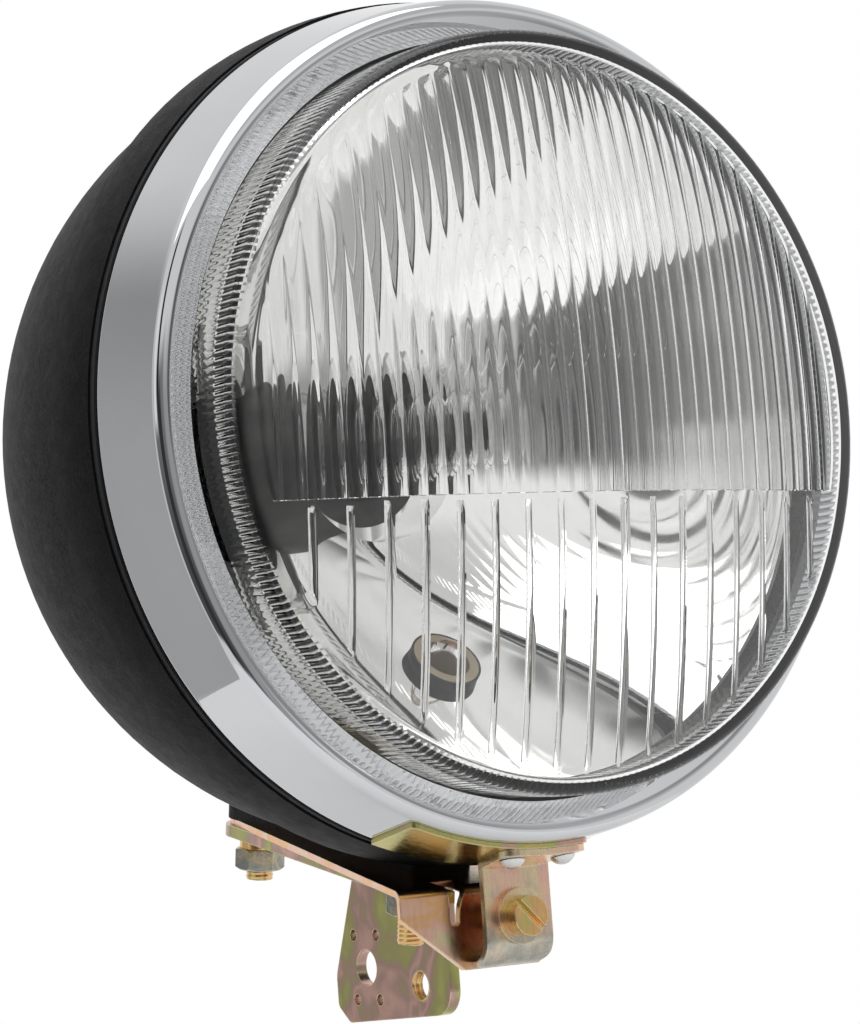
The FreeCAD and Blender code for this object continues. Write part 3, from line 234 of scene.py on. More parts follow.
# Meshes
class Surface:
    """Collects points and faces of one mesh, in lamp millimetres."""

    def __init__(self):
        self.points = []
        self.faces = []

    def add(self, x, y, z):
        self.points.append(lamp_point(x, y, z))
        return len(self.points) - 1

    def ring(self, y, angles, radius):
        """Circle of points about the axis; radius is a number or a function of the angle."""
        loop = []
        for a in angles:
            r = radius(a) if callable(radius) else radius
            loop.append(self.add(r * math.cos(a), y, r * math.sin(a)))
        return loop

    def join(self, one, two):
        """Quads between two closed loops of the same count."""
        count = len(one)
        for i in range(count):
            j = (i + 1) % count
            self.faces.append((one[i], one[j], two[j], two[i]))

    def zip_up(self, one, angles_one, two, angles_two):
        """Triangles between two closed loops whose counts differ; angles rise along both."""
        i = j = 0
        turn = 2 * math.pi
        apart = [(a - angles_one[0] + math.pi) % turn - math.pi for a in angles_two]
        start = min(range(len(two)), key=lambda k: abs(apart[k]))
        far_one = [(a - angles_one[0]) % turn for a in angles_one] + [turn]
        base = angles_two[start]
        order = [(start + k) % len(two) for k in range(len(two))]
        far_two = [(angles_two[k] - base) % turn for k in order] + [turn]
        while i < len(one) or j < len(two):
            a = one[i % len(one)]
            b = two[order[j % len(two)]]
            step_one = j >= len(two) or (i < len(one) and far_one[i + 1] <= far_two[j + 1])
            if step_one:
                i += 1
                self.faces.append((a, one[i % len(one)], b))
            else:
                j += 1
                self.faces.append((a, two[order[j % len(two)]], b))

    def chain(self, loops):
        """Quads from each loop to the next."""
        for one, two in zip(loops, loops[1:]):
            self.join(one, two)

    def build(self, name, sharp_angle):
        mesh = bpy.data.meshes.new(name)
        mesh.from_pydata(self.points, [], self.faces)
        tidy = bmesh.new()
        tidy.from_mesh(mesh)
        bmesh.ops.recalc_face_normals(tidy, faces=tidy.faces)
        tidy.to_mesh(mesh)
        tidy.free()
        mesh.shade_smooth()
        mesh.set_sharp_from_angle(angle=math.radians(sharp_angle))
        piece = bpy.data.objects.new(name, mesh)
        bpy.context.scene.collection.objects.link(piece)
        return piece


def even_angles(count):
    return [2 * math.pi * i / count for i in range(count)]


def arc(centre, radius, start, end, count):
    """Points (r, y) of an arc about centre, from one angle to another."""
    points = []
    for i in range(count + 1):
        a = start + (end - start) * i / count
        points.append((centre[0] + radius * math.cos(a), centre[1] + radius * math.sin(a)))
    return points


# Pressed glass lens
def dome_y(r, depth):
    return GLASS_FRONT_Y + DOME_RADIUS - math.sqrt((DOME_RADIUS - depth) ** 2 - r * r)


def corner_points(wall_r, depth, corner, count):
    """Rounded corner between the wall and the dome, from the dome to the wall."""
    sphere = DOME_RADIUS - depth - corner
    r = wall_r - corner
    y = GLASS_FRONT_Y + DOME_RADIUS - math.sqrt(sphere ** 2 - r * r)
    lean = math.atan2(y - GLASS_FRONT_Y - DOME_RADIUS, r)
    return arc((r, y), corner, lean, 0.0, count)


def flute_cut(x):
    """Depth of the hollow flutes across the glass."""
    half = (FLUTE_PITCH - FLUTE_LAND) / 2
    u = x % FLUTE_PITCH - FLUTE_PITCH / 2
    if abs(u) >= half:
        return 0.0
    radius = (half ** 2 + FLUTE_DEPTH ** 2) / (2 * FLUTE_DEPTH)
    return math.sqrt(radius ** 2 - u * u) - (radius - FLUTE_DEPTH)


def rib_places():
    return [(i - (RIB_COUNT - 1) / 2) * RIB_PITCH for i in range(RIB_COUNT)]


def rib_rise(x):
    """Height of the half-round ribs across the glass."""
    u = min(abs(x - place) for place in rib_places()) / RIB_HALF
    return RIB_HEIGHT * math.sqrt(1 - u * u) if u < 1 else 0.0


def optic_columns():
    """Where the optic is sampled across: finely over each flute and each rib."""
    reach = OPTIC_RADIUS - COLUMN_INSET
    count = int(OPTIC_RADIUS / FLUTE_PITCH) + 1
    half = (FLUTE_PITCH - FLUTE_LAND) / 2
    places = {-reach, reach}
    for i in range(-count, count):
        for k in range(-FLUTE_STEPS, FLUTE_STEPS + 1):
            places.add((i + 0.5) * FLUTE_PITCH + half * k / FLUTE_STEPS)
    for place in rib_places():
        for k in range(-RIB_STEPS, RIB_STEPS + 1):
            places.add(place + RIB_HALF * math.sin(math.pi / 2 * k / RIB_STEPS))
    kept = []
    for x in sorted(p for p in places if abs(p) <= reach):
        if not kept or x - kept[-1] > COLUMN_LEAST:
            kept.append(x)
    return kept


def optic_rows(x):
    """Heights of one column's points from top to bottom, with the same count everywhere."""
    top = math.sqrt(OPTIC_RADIUS ** 2 - x * x)
    edge = max(min(BEAM_EDGE_Z, top - UPPER_LEAST), LOWER_LEAST - top)
    upper = []
    for i in range(UPPER_ROWS + 1):
        upper.append(top - (top - edge) * (i / UPPER_ROWS) ** UPPER_CROWDING)
    lower_top = edge - min(BEAM_STEP, (edge + top) / BEAM_STEP_SHARE)
    room = max(lower_top + top, 0.0)
    lower = []
    for i in range(LOWER_ROWS + 1):
        t = i / LOWER_ROWS
        share = LOWER_CROWDING * t * t + (1 - LOWER_CROWDING) * smooth_step(0.0, 1.0, t)
        lower.append(lower_top - room * share)
    return upper, lower


def optic_height(x, z, above):
    """Inner face of the glass: the dome with its flutes or ribs, plain near its edge."""
    r = math.hypot(x, z)
    fade = smooth_step(0.0, OPTIC_FADE, OPTIC_RADIUS - r)
    if above:
        return dome_y(r, GLASS_THICK) - flute_cut(x) * fade
    rise = rib_rise(x) * smooth_step(0.0, RIB_TOP_FADE, RIB_TOP_Z - z)
    return dome_y(r, GLASS_THICK) + rise * fade


def add_optic(surface):
    """The optic's grid; returns its boundary loop and the loop's angles, rising."""
    grid = []
    for x in optic_columns():
        upper, lower = optic_rows(x)
        column = [surface.add(x, optic_height(x, z, True), z) for z in upper]
        column += [surface.add(x, optic_height(x, z, False), z) for z in lower]
        grid.append(column)
    for left, right in zip(grid, grid[1:]):
        for i in range(len(left) - 1):
            surface.faces.append((left[i], left[i + 1], right[i + 1], right[i]))
    loop = [column[-1] for column in grid]
    loop += grid[-1][-2:0:-1]
    loop += [column[0] for column in grid[::-1]]
    loop += grid[0][1:-1]
    angles = []
    for index in loop:
        place = (surface.points[index] - LAMP) / MM
        angles.append(math.atan2(place.z, place.x))
    return loop, angles


def tooth_rise(angle):
    """Height of a tooth, from 0 to 1: a round bar on part of its pitch, flat glass on the rest."""
    u = (angle * TEETH / (2 * math.pi)) % 1.0 - 0.5
    return math.cos(math.pi * u / TOOTH_SHARE) if abs(u) < TOOTH_SHARE / 2 else 0.0


def tooth_radius(y):
    """Inner wall with its fine upright teeth, as a function of the angle."""
    inner = WALL_RADIUS - WALL
    window = smooth_step(0.0, TEETH_FADE, TEETH_FROM_Y - y)
    window *= smooth_step(0.0, TEETH_FADE, y - TEETH_TO_Y)
    return lambda a: inner - TOOTH_HEIGHT * window * tooth_rise(a)


def add_glass_outside(surface, angles):
    """The dome, its corner, the wall and the flange; returns the flange's last loop."""
    corner = corner_points(WALL_RADIUS, 0.0, GLASS_CORNER, CORNER_STEPS)
    profile = []
    for i in range(1, DOME_RINGS):
        r = corner[0][0] * i / DOME_RINGS
        profile.append((r, dome_y(r, 0.0)))
    profile += corner
    profile.append((WALL_RADIUS, FLANGE_FRONT_Y))
    profile.append((FLANGE_RADIUS, FLANGE_FRONT_Y))
    profile.append((FLANGE_RADIUS, FLANGE_BACK_Y))
    loops = [surface.ring(y, angles, r) for r, y in profile]
    tip = surface.add(0, GLASS_FRONT_Y, 0)
    for i in range(SEGMENTS):
        surface.faces.append((tip, loops[0][(i + 1) % SEGMENTS], loops[0][i]))
    surface.chain(loops)
    return loops[-1]


def add_glass_inside(surface, fine):
    """The toothed wall and the bend to the optic; returns its first and last loop."""
    bend = corner_points(WALL_RADIUS - WALL, GLASS_THICK, INNER_CORNER, INNER_CORNER_STEPS)
    wall_end = bend[-1][1]
    fades = [TEETH_FADE * k / TOOTH_FADE_STEPS for k in range(TOOTH_FADE_STEPS + 1)]
    rows = [FLANGE_BACK_Y]
    rows += [TEETH_FROM_Y - fade for fade in fades]
    rows += [TEETH_TO_Y + fade for fade in fades[::-1]]
    rows = [y for y in rows if y > wall_end] + [wall_end]
    walls = [surface.ring(y, fine, tooth_radius(y)) for y in rows]
    walls += [surface.ring(y, fine, r) for r, y in bend[-2::-1]]
    surface.chain(walls)
    return walls[0], walls[-1]


def pressed_lens():
    """The glass with its flutes, ribs and toothed wall, as one closed mesh."""
    surface = Surface()
    angles = even_angles(SEGMENTS)
    fine = even_angles(TEETH * TOOTH_STEPS)
    flange = add_glass_outside(surface, angles)
    wall_back, wall_front = add_glass_inside(surface, fine)
    surface.zip_up(flange, angles, wall_back, fine)
    optic, optic_angles = add_optic(surface)
    surface.zip_up(wall_front, fine, optic, optic_angles)
    return surface.build("pressed_lens", GLASS_SHARP)


# Turned sheet metal
def offset_run(points, gap):
    """The run of points moved to its right by the gap."""
    sides = []
    for (r0, y0), (r1, y1) in zip(points, points[1:]):
        length = math.hypot(r1 - r0, y1 - y0)
        sides.append(((y1 - y0) / length, (r0 - r1) / length))
    moved = [(points[0][0] + gap * sides[0][0], points[0][1] + gap * sides[0][1])]
    for i in range(1, len(points) - 1):
        (a, b), (c, d) = sides[i - 1], sides[i]
        share = gap / (1 + a * c + b * d)
        moved.append((points[i][0] + share * (a + c), points[i][1] + share * (b + d)))
    moved.append((points[-1][0] + gap * sides[-1][0], points[-1][1] + gap * sides[-1][1]))
    return moved


def bend_points(before, corner, after, radius, count):
    """Points of the arc that rounds one corner of a run."""
    into = (corner - before).normalized()
    out = (after - corner).normalized()
    inward = (out - into * into.dot(out)).normalized()
    turn = into.angle(out)
    start = corner - into * radius * math.tan(turn / 2)
    points = []
    for k in range(count + 1):
        a = turn * k / count
        points.append(start + into * radius * math.sin(a) + inward * radius * (1 - math.cos(a)))
    return points


def rounded_run(points, radii, count):
    """The run of points with rounded corners and a few points along each straight."""
    corners = [Vector(p) for p in points]
    bends = [[corners[0]]]
    for i in range(1, len(corners) - 1):
        bends.append(bend_points(corners[i - 1], corners[i], corners[i + 1], radii[i], count))
    bends.append([corners[-1]])
    run = list(bends[0])
    for one, two in zip(bends, bends[1:]):
        run += [one[-1].lerp(two[0], share) for share in STRAIGHT_SHARES]
        run += two
    return [(p.x, p.y) for p in run]


def chrome_rim():
    """The rim's pressed ring, turned finely enough for clean reflections."""
    outside = [r + RIM_SHEET if r else 0.0 for r in RIM_BENDS]
    skin = rounded_run(RIM_SKIN, outside, RIM_SKIN_STEPS)
    inner = rounded_run(offset_run(RIM_SKIN, RIM_SHEET), RIM_BENDS, RIM_INNER_STEPS)
    surface = Surface()
    angles = even_angles(RIM_SEGMENTS)
    loops = [surface.ring(y, angles, r) for r, y in skin + inner[::-1]]
    surface.chain(loops + loops[:1])
    return surface.build("chrome_rim", SHEET_SHARP)


def mirror_y(r):
    """The reflecting surface: a paraboloid about the lamp's axis."""
    return MIRROR_FRONT_Y + (MIRROR_MOUTH ** 2 - r * r) / (4 * FOCUS)


def pilot_axis():
    """Where the side light's axis meets the mirror, and the axis."""
    place = Vector((0, mirror_y(-PILOT_Z), PILOT_Z))
    return place, Vector((0, -1, -PILOT_Z / (2 * FOCUS))).normalized()


def pilot_cells(surface, loops):
    """Cells (row, column) of the bowl that the side light's hole takes away."""
    place, axis = pilot_axis()
    cells = set()
    for i in range(MIRROR_ROWS):
        for k in range(SEGMENTS):
            one = surface.points[loops[i][k]]
            two = surface.points[loops[i + 1][(k + 1) % SEGMENTS]]
            away = ((one + two) / 2 - LAMP) / MM - place
            if away.cross(axis).length < PILOT_HOLE and away.dot(axis) < PILOT_REACH:
                cells.add((i, k))
    return cells


def add_bowl_skins(surface, face, back):
    """Both skins of the bowl, with a wall round the side light's hole."""
    hole = pilot_cells(surface, face)
    for i in range(MIRROR_ROWS):
        for k in range(SEGMENTS):
            j = (k + 1) % SEGMENTS
            if (i, k) not in hole:
                for loops in (face, back):
                    surface.faces.append((loops[i][k], loops[i][j], loops[i + 1][j], loops[i + 1][k]))
                continue
            sides = [
                ((i - 1, k), (i, k), (i, j)),
                ((i + 1, k), (i + 1, k), (i + 1, j)),
                ((i, (k - 1) % SEGMENTS), (i, k), (i + 1, k)),
                ((i, j), (i, j), (i + 1, j)),
            ]
            for neighbour, (a, b), (c, d) in sides:
                if neighbour not in hole:
                    surface.faces.append((face[a][b], face[c][d], back[c][d], back[a][b]))


def mirror_bowl():
    """The reflector's pressed bowl with its flange, neck and the side light's hole."""
    surface = Surface()
    angles = even_angles(SEGMENTS)
    neck_out = NECK_RADIUS + MIRROR_SHEET
    back_y = MIRROR_FRONT_Y + MIRROR_SHEET
    end = mirror_y(0) + NECK_LENGTH
    inner_end = end - MIRROR_SHEET
    face = []
    back = []
    for i in range(MIRROR_ROWS + 1):
        share = i / MIRROR_ROWS
        r = NECK_RADIUS + (MIRROR_MOUTH - NECK_RADIUS) * share
        face.append(surface.ring(mirror_y(r), angles, r))
    for i in range(MIRROR_ROWS + 1):
        share = i / MIRROR_ROWS
        r = neck_out + (MIRROR_MOUTH - neck_out) * share
        back.append(surface.ring(mirror_y(r) + MIRROR_SHEET, angles, r))
    flange = [
        (MIRROR_MOUTH + FLANGE_STEP, MIRROR_FRONT_Y),
        (FLANGE_RADIUS, MIRROR_FRONT_Y),
        (FLANGE_RADIUS, back_y),
        (MIRROR_MOUTH + FLANGE_STEP, back_y),
    ]
    neck = [(neck_out, end), (NECK_BORE, end), (NECK_BORE, inner_end), (NECK_RADIUS, inner_end)]
    flange_loops = [surface.ring(y, angles, r) for r, y in flange]
    neck_loops = [surface.ring(y, angles, r) for r, y in neck]
    surface.chain([face[-1]] + flange_loops + [back[-1]])
    surface.chain([back[0]] + neck_loops + [face[0]])
    add_bowl_skins(surface, face, back)
    return surface.build("mirror_bowl", SHEET_SHARP)


# Screw threads
def helix_wave(turns, along, pitch):
    """Triangle wave from 0 to 1 that climbs one pitch a turn."""
    u = (along / pitch - turns) % 1.0
    return 1 - abs(2 * u - 1)


def thread_sleeve(name, start, axis, length, back_radius, root, crest, pitch):
    """Thin sleeve with a helical thread on one side and a plain back on the other."""
    surface = Surface()
    side = axis.orthogonal().normalized()
    other = axis.cross(side)
    angles = even_angles(THREAD_STEPS)
    rows = max(THREAD_ROWS, int(round(length / pitch * THREAD_ROWS)))

    def loop(along, radii):
        made = []
        for a, r in zip(angles, radii):
            p = start + axis * along + (side * math.cos(a) + other * math.sin(a)) * r
            made.append(surface.add(p.x, p.y, p.z))
        return made

    loops = []
    for i in range(rows + 1):
        along = length * i / rows
        waves = [helix_wave(a / (2 * math.pi), along, pitch) for a in angles]
        loops.append(loop(along, [root + (crest - root) * wave for wave in waves]))
    plain = [back_radius] * THREAD_STEPS
    loops.append(loop(length, plain))
    loops.append(loop(0.0, plain))
    surface.chain(loops + loops[:1])
    return surface.build(name, THREAD_SHARP)


def add_threads(material):
    """Threads on the bracket screws' free ends and in the plate's tapped hole."""
    tilt = math.radians(STRAP_TILT)
    down = Vector((0, math.sin(tilt), -math.cos(tilt)))
    along = Vector((0, math.cos(tilt), math.sin(tilt)))
    front = Vector((0, FRONT_BOLT_Y, STRAP_TOP_Z)) + down * NUT_BOTTOM
    rear = front + along * BOLT_SPACING
    screws = [("front_screw_thread", front, FRONT_THREAD), ("rear_screw_thread", rear, REAR_THREAD)]
    pieces = []
    for name, start, length in screws:
        pieces.append(thread_sleeve(name, start, down, length, M6_BACK, M6_ROOT, M6_CREST, M6_PITCH))
    hole = Vector((PLATE_X, TAPPED_HOLE_Y, TAPPED_HOLE_Z))
    across = Vector((1, 0, 0))
    sleeve = thread_sleeve("hole_thread", hole, across, PLATE_THICK, M8_BACK, M8_ROOT, M8_CREST, M8_PITCH)
    pieces.append(sleeve)
    for piece in pieces:
        piece.data.materials.append(material)
        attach(piece, "root")


# Colours and common values of the materials
OLIVE = (0.37, 0.35, 0.14)
MOSS = (0.46, 0.46, 0.16)
MAUVE = (0.42, 0.28, 0.23)
ROSE = (0.60, 0.37, 0.31)
BRASS = (0.60, 0.49, 0.19)
PALE_BRASS = (0.74, 0.62, 0.38)
GOLD = (0.74, 0.53, 0.17)
ORANGE = (0.76, 0.44, 0.20)
PALE_ROSE = (0.80, 0.50, 0.40)
DULL_GREY = (0.34, 0.33, 0.28)
PALE_DULL_GREY = (0.44, 0.42, 0.37)
STEEL = (0.21, 0.225, 0.225)
DULL_BRASS = (0.40, 0.34, 0.21)
DULL_MAUVE = (0.28, 0.23, 0.25)
# Painted highlight: the pale colour laid along the zinc parts' sharp edges
EDGE_HIGHLIGHT_COLOUR = (0.70, 0.66, 0.40)
EDGE_RADIUS = 0.0004
EDGE_SAMPLES = 4
EDGE_FLAT = 0.985
EDGE_TURNED = 0.88
NOISE_RANGE = (0.3, 0.7)
PLASTIC_IOR = 1.46

# Films of the zinc plate: (place on the ramp, colour)
SADDLE_STOPS = [(0.32, PALE_BRASS), (0.42, PALE_ROSE), (0.52, ORANGE), (0.60, PALE_ROSE), (0.70, PALE_BRASS)]
SHEET_STOPS = [(0.30, MOSS), (0.40, OLIVE), (0.48, MAUVE), (0.55, ROSE), (0.62, MAUVE), (0.70, OLIVE)]
LUG_STOPS = [(0.35, BRASS), (0.50, MOSS), (0.65, ROSE)]
SCREW_STOPS = [(0.32, GOLD), (0.50, ORANGE), (0.68, BRASS)]
NUT_STOPS = [(0.30, DULL_GREY), (0.46, STEEL), (0.58, DULL_BRASS), (0.70, DULL_MAUVE)]
ROSY_STOPS = [(0.36, PALE_ROSE), (0.52, PALE_BRASS), (0.66, PALE_ROSE)]
# The clip's lower part: painted silver-grey shade of its bend
BEND_SHADE_STOPS = [(0.35, DULL_GREY), (0.52, PALE_DULL_GREY), (0.66, DULL_GREY)]


def grey(level):
    return (level, level, level)


# Materials
class Shader:
    """Small helper round one material's nodes."""

    def __init__(self, name):
        self.material = bpy.data.materials.new(name)
        self.material.use_nodes = True
        self.tree = self.material.node_tree
        self.bsdf = self.tree.nodes["Principled BSDF"]
        self.place = self.node("ShaderNodeTexCoord").outputs["Object"]

    def node(self, kind, **values):
        made = self.tree.nodes.new(kind)
        for key, value in values.items():
            setattr(made, key, value)
        return made

    def link(self, source, target):
        self.tree.links.new(source, target)

    def set(self, **values):
        for key, value in values.items():
            self.bsdf.inputs[key.replace("_", " ")].default_value = value

    def noise(self, scale, detail=3.0, rough=0.55, distortion=0.0, stretch=(1, 1, 1)):
        mapping = self.node("ShaderNodeMapping")
        mapping.inputs["Scale"].default_value = stretch
        self.link(self.place, mapping.inputs["Vector"])
        texture = self.node("ShaderNodeTexNoise")
        texture.inputs["Scale"].default_value = scale
        texture.inputs["Detail"].default_value = detail
        texture.inputs["Roughness"].default_value = rough
        texture.inputs["Distortion"].default_value = distortion
        self.link(mapping.outputs["Vector"], texture.inputs["Vector"])
        return texture.outputs["Fac"]

    def ramp(self, factor, stops):
        """Colour ramp; stops are (place, colour)."""
        made = self.node("ShaderNodeValToRGB")
        elements = made.color_ramp.elements
        while len(elements) < len(stops):
            elements.new(0.5)
        for element, (place, colour) in zip(elements, stops):
            element.position = place
            element.color = tuple(colour) + (1.0,)
        self.link(factor, made.inputs["Fac"])
        return made.outputs["Color"]

    def spread(self, factor, low, high):
        """A noise value stretched to a range of numbers."""
        made = self.node("ShaderNodeMapRange")
        made.inputs["From Min"].default_value = NOISE_RANGE[0]
        made.inputs["From Max"].default_value = NOISE_RANGE[1]
        made.inputs["To Min"].default_value = low
        made.inputs["To Max"].default_value = high
        self.link(factor, made.inputs["Value"])
        return made.outputs["Result"]

    def mix(self, factor, one, two):
        """Blend of two colours; the second may be a plain colour."""
        made = self.node("ShaderNodeMix", data_type="RGBA")
        self.link(factor, made.inputs["Factor"])
        ports = [port for port in made.inputs if port.type == "RGBA"]
        for port, colour in zip(ports, (one, two)):
            if isinstance(colour, tuple):
                port.default_value = colour + (1.0,)
            else:
                self.link(colour, port)
        return [port for port in made.outputs if port.type == "RGBA"][0]

    def between(self, axis, low, high):
        """0 at the lower place along X, Y or Z and 1 at the upper one."""
        split = self.node("ShaderNodeSeparateXYZ")
        self.link(self.place, split.inputs[0])
        made = self.node("ShaderNodeMapRange")
        made.inputs["From Min"].default_value = low
        made.inputs["From Max"].default_value = high
        self.link(split.outputs[axis], made.inputs["Value"])
        return made.outputs["Result"]

    def height(self, low, high):
        """0 at the lower level and 1 at the upper one, with a ragged edge between."""
        ragged = self.node("ShaderNodeMath", operation="ADD", use_clamp=True)
        self.link(self.between("Z", low, high), ragged.inputs[0])
        self.link(self.spread(self.noise(220, detail=4), -0.5, 0.5), ragged.inputs[1])
        return ragged.outputs[0]

    def soft_normal(self, radius):
        """Normals that turn gradually over sharp edges."""
        made = self.node("ShaderNodeBevel", samples=EDGE_SAMPLES)
        made.inputs["Radius"].default_value = radius
        return made.outputs["Normal"]

    def edge_highlight_mask(self):
        """1 along sharp edges and 0 on the faces between them; it places the painted edge highlight."""
        dot = self.node("ShaderNodeVectorMath", operation="DOT_PRODUCT")
        self.link(self.soft_normal(EDGE_RADIUS), dot.inputs[0])
        self.link(self.node("ShaderNodeNewGeometry").outputs["True Normal"], dot.inputs[1])
        made = self.node("ShaderNodeMapRange")
        made.inputs["From Min"].default_value = EDGE_FLAT
        made.inputs["From Max"].default_value = EDGE_TURNED
        self.link(dot.outputs["Value"], made.inputs["Value"])
        return made.outputs["Result"]

    def bump(self, height, distance, edge=0.0):
        """Fine relief; edge is the radius to which sharp edges are softened."""
        made = self.node("ShaderNodeBump")
        if edge:
            self.link(self.soft_normal(edge), made.inputs["Normal"])
        made.inputs["Distance"].default_value = distance
        made.inputs["Strength"].default_value = 1.0
        self.link(height, made.inputs["Height"])
        self.link(made.outputs["Normal"], self.bsdf.inputs["Normal"])

    def off_axis(self, place, axis, radius, soft):
        """1 beyond a radius about an axis and 0 inside it, all in metres."""
        away = self.node("ShaderNodeVectorMath", operation="SUBTRACT")
        self.link(self.place, away.inputs[0])
        away.inputs[1].default_value = place
        cross = self.node("ShaderNodeVectorMath", operation="CROSS_PRODUCT")
        self.link(away.outputs["Vector"], cross.inputs[0])
        cross.inputs[1].default_value = axis
        length = self.node("ShaderNodeVectorMath", operation="LENGTH")
        self.link(cross.outputs["Vector"], length.inputs[0])
        made = self.node("ShaderNodeMapRange")
        made.inputs["From Min"].default_value = radius - soft
        made.inputs["From Max"].default_value = radius + soft
        self.link(length.outputs["Value"], made.inputs["Value"])
        return made.outputs["Result"]

    def colour_from(self, factor, stops):
        self.link(self.ramp(factor, stops), self.bsdf.inputs["Base Color"])

    def roughness_from(self, factor, low, high):
        self.link(self.spread(factor, low, high), self.bsdf.inputs["Roughness"])


def chrome():
    s = Shader("chrome")
    s.set(Metallic=1.0)
    s.colour_from(s.noise(40), [(0.3, (0.545, 0.555, 0.57)), (0.7, (0.575, 0.585, 0.60))])
    s.roughness_from(s.noise(90), 0.02, 0.04)
    return s.material


def mirror():
    s = Shader("mirror_coat")
    s.set(Metallic=1.0)
    s.colour_from(s.noise(60), [(0.3, (0.83, 0.83, 0.82)), (0.7, (0.88, 0.88, 0.87))])
    s.roughness_from(s.noise(120), 0.015, 0.035)
    return s.material


def lens_glass():
    s = Shader("lens_glass")
    s.set(Roughness=0.0, IOR=1.5, Transmission_Weight=1.0)
    s.colour_from(s.noise(30), [(0.3, (0.984, 0.985, 0.982)), (0.7, (0.99, 0.99, 0.988))])
    return s.material


def bulb_glass():
    s = Shader("bulb_glass")
    s.set(Roughness=0.0, IOR=1.47, Transmission_Weight=1.0)
    s.colour_from(s.noise(90), [(0.3, grey(0.97)), (0.7, grey(0.99))])
    return s.material


def moulded_plastic(name, dark, pale, grain=2400.0, depth=0.00009, rough=(0.5, 0.62)):
    s = Shader(name)
    s.set(IOR=PLASTIC_IOR, Specular_IOR_Level=0.5)
    s.colour_from(s.noise(60, detail=5), [(0.35, dark), (0.65, pale)])
    s.roughness_from(s.noise(300), *rough)
    s.bump(s.noise(grain, detail=4, rough=0.7), depth)
    return s.material


def rubber(name, dark, pale):
    return moulded_plastic(name, dark, pale, grain=600.0, depth=0.00003, rough=(0.6, 0.75))


def housing_plastic():
    """Grained black plastic, with painted shade darkening the band at the mouth and painted light on the
    dome behind it.
    """
    s = Shader("grained_plastic")
    s.set(IOR=PLASTIC_IOR, Specular_IOR_Level=0.1)
    speck = s.noise(1500, detail=5)
    # Painted shade on the band, painted light on the dome
    band_painted_shade = s.ramp(speck, [(0.35, grey(0.002)), (0.65, grey(0.008))])
    dome_painted_light = s.ramp(speck, [(0.35, grey(0.006)), (0.65, grey(0.022))])
    low, high = (LAMP.y + (CREASE_Y + step) * MM for step in CREASE_SHADE_BLEND)
    s.link(s.mix(s.between("Y", low, high), band_painted_shade, dome_painted_light), s.bsdf.inputs["Base Color"])
    s.roughness_from(s.noise(300), 0.5, 0.6)
    s.bump(s.noise(1800, detail=4, rough=0.7), 0.00012)
    return s.material


def pilot_plastic():
    """Cream inner ring; beyond it the holder is painted dark grey, a painted shadow round the ring."""
    s = Shader("pilot_plastic")
    s.set(IOR=PLASTIC_IOR, Specular_IOR_Level=0.4)
    place, axis = pilot_axis()
    drift = s.noise(120, detail=4)
    cream = s.ramp(drift, [(0.35, (0.60, 0.50, 0.34)), (0.65, (0.68, 0.60, 0.45))])
    # Painted shadow: dark grey on the holder round the cream ring
    dark = s.ramp(drift, [(0.35, (0.05, 0.05, 0.055)), (0.65, (0.08, 0.08, 0.085))])
    outside = s.off_axis(lamp_point(*place), axis, PILOT_CREAM * MM, 0.1 * MM)
    s.link(s.mix(outside, cream, dark), s.bsdf.inputs["Base Color"])
    s.roughness_from(s.noise(300), 0.4, 0.55)
    s.bump(s.noise(500, detail=4, rough=0.7), 0.00003)
    return s.material


def zinc(name, stops, rough=(0.15, 0.27), scale=42.0):
    """Passivated zinc plate: a thin coloured film that drifts over the sheet, with a painted pale highlight
    along its edges.
    """
    s = Shader(name)
    film = s.ramp(s.noise(scale, detail=2.5, rough=0.5, distortion=1.4), stops)
    finish_zinc(s, film, rough)
    return s.material


def clip_zinc():
    """The clip's film is rosy above and turns to a painted silver-grey shade lower down, where the plate
    bends back.
    """
    s = Shader("zinc_clip")
    rosy = s.ramp(s.noise(60), ROSY_STOPS)
    # Painted shade: silver-grey on the bend below
    bend_shade = s.ramp(s.noise(160, detail=5, rough=0.65), BEND_SHADE_STOPS)
    low, high = (LAMP.z + z * MM for z in (CLIP_BEND_SHADE_Z, CLIP_ROSY_Z))
    finish_zinc(s, s.mix(s.height(low, high), bend_shade, rosy), (0.2, 0.34))
    return s.material


def finish_zinc(s, film, rough):
    """The film with painted pale highlights along its sharp edges, and fine marks drawn out along the
    height.
    """
    s.set(Metallic=1.0)
    s.link(s.mix(s.edge_highlight_mask(), film, EDGE_HIGHLIGHT_COLOUR), s.bsdf.inputs["Base Color"])
    s.roughness_from(s.noise(700, detail=4, rough=0.6, stretch=(1, 1, 0.25)), *rough)
    s.bump(s.noise(900, detail=4, rough=0.65, stretch=(1, 1, 0.3)), 0.00002, edge=EDGE_RADIUS)


def metal(name, dark, pale, rough):
    s = Shader(name)
    s.set(Metallic=1.0)
    s.colour_from(s.noise(150, detail=4), [(0.3, dark), (0.7, pale)])
    s.roughness_from(s.noise(500), *rough)
    return s.material


def dress(names, material):
    for name in names:
        slots = nodes[name].data.materials
        slots.clear()
        slots.append(material)


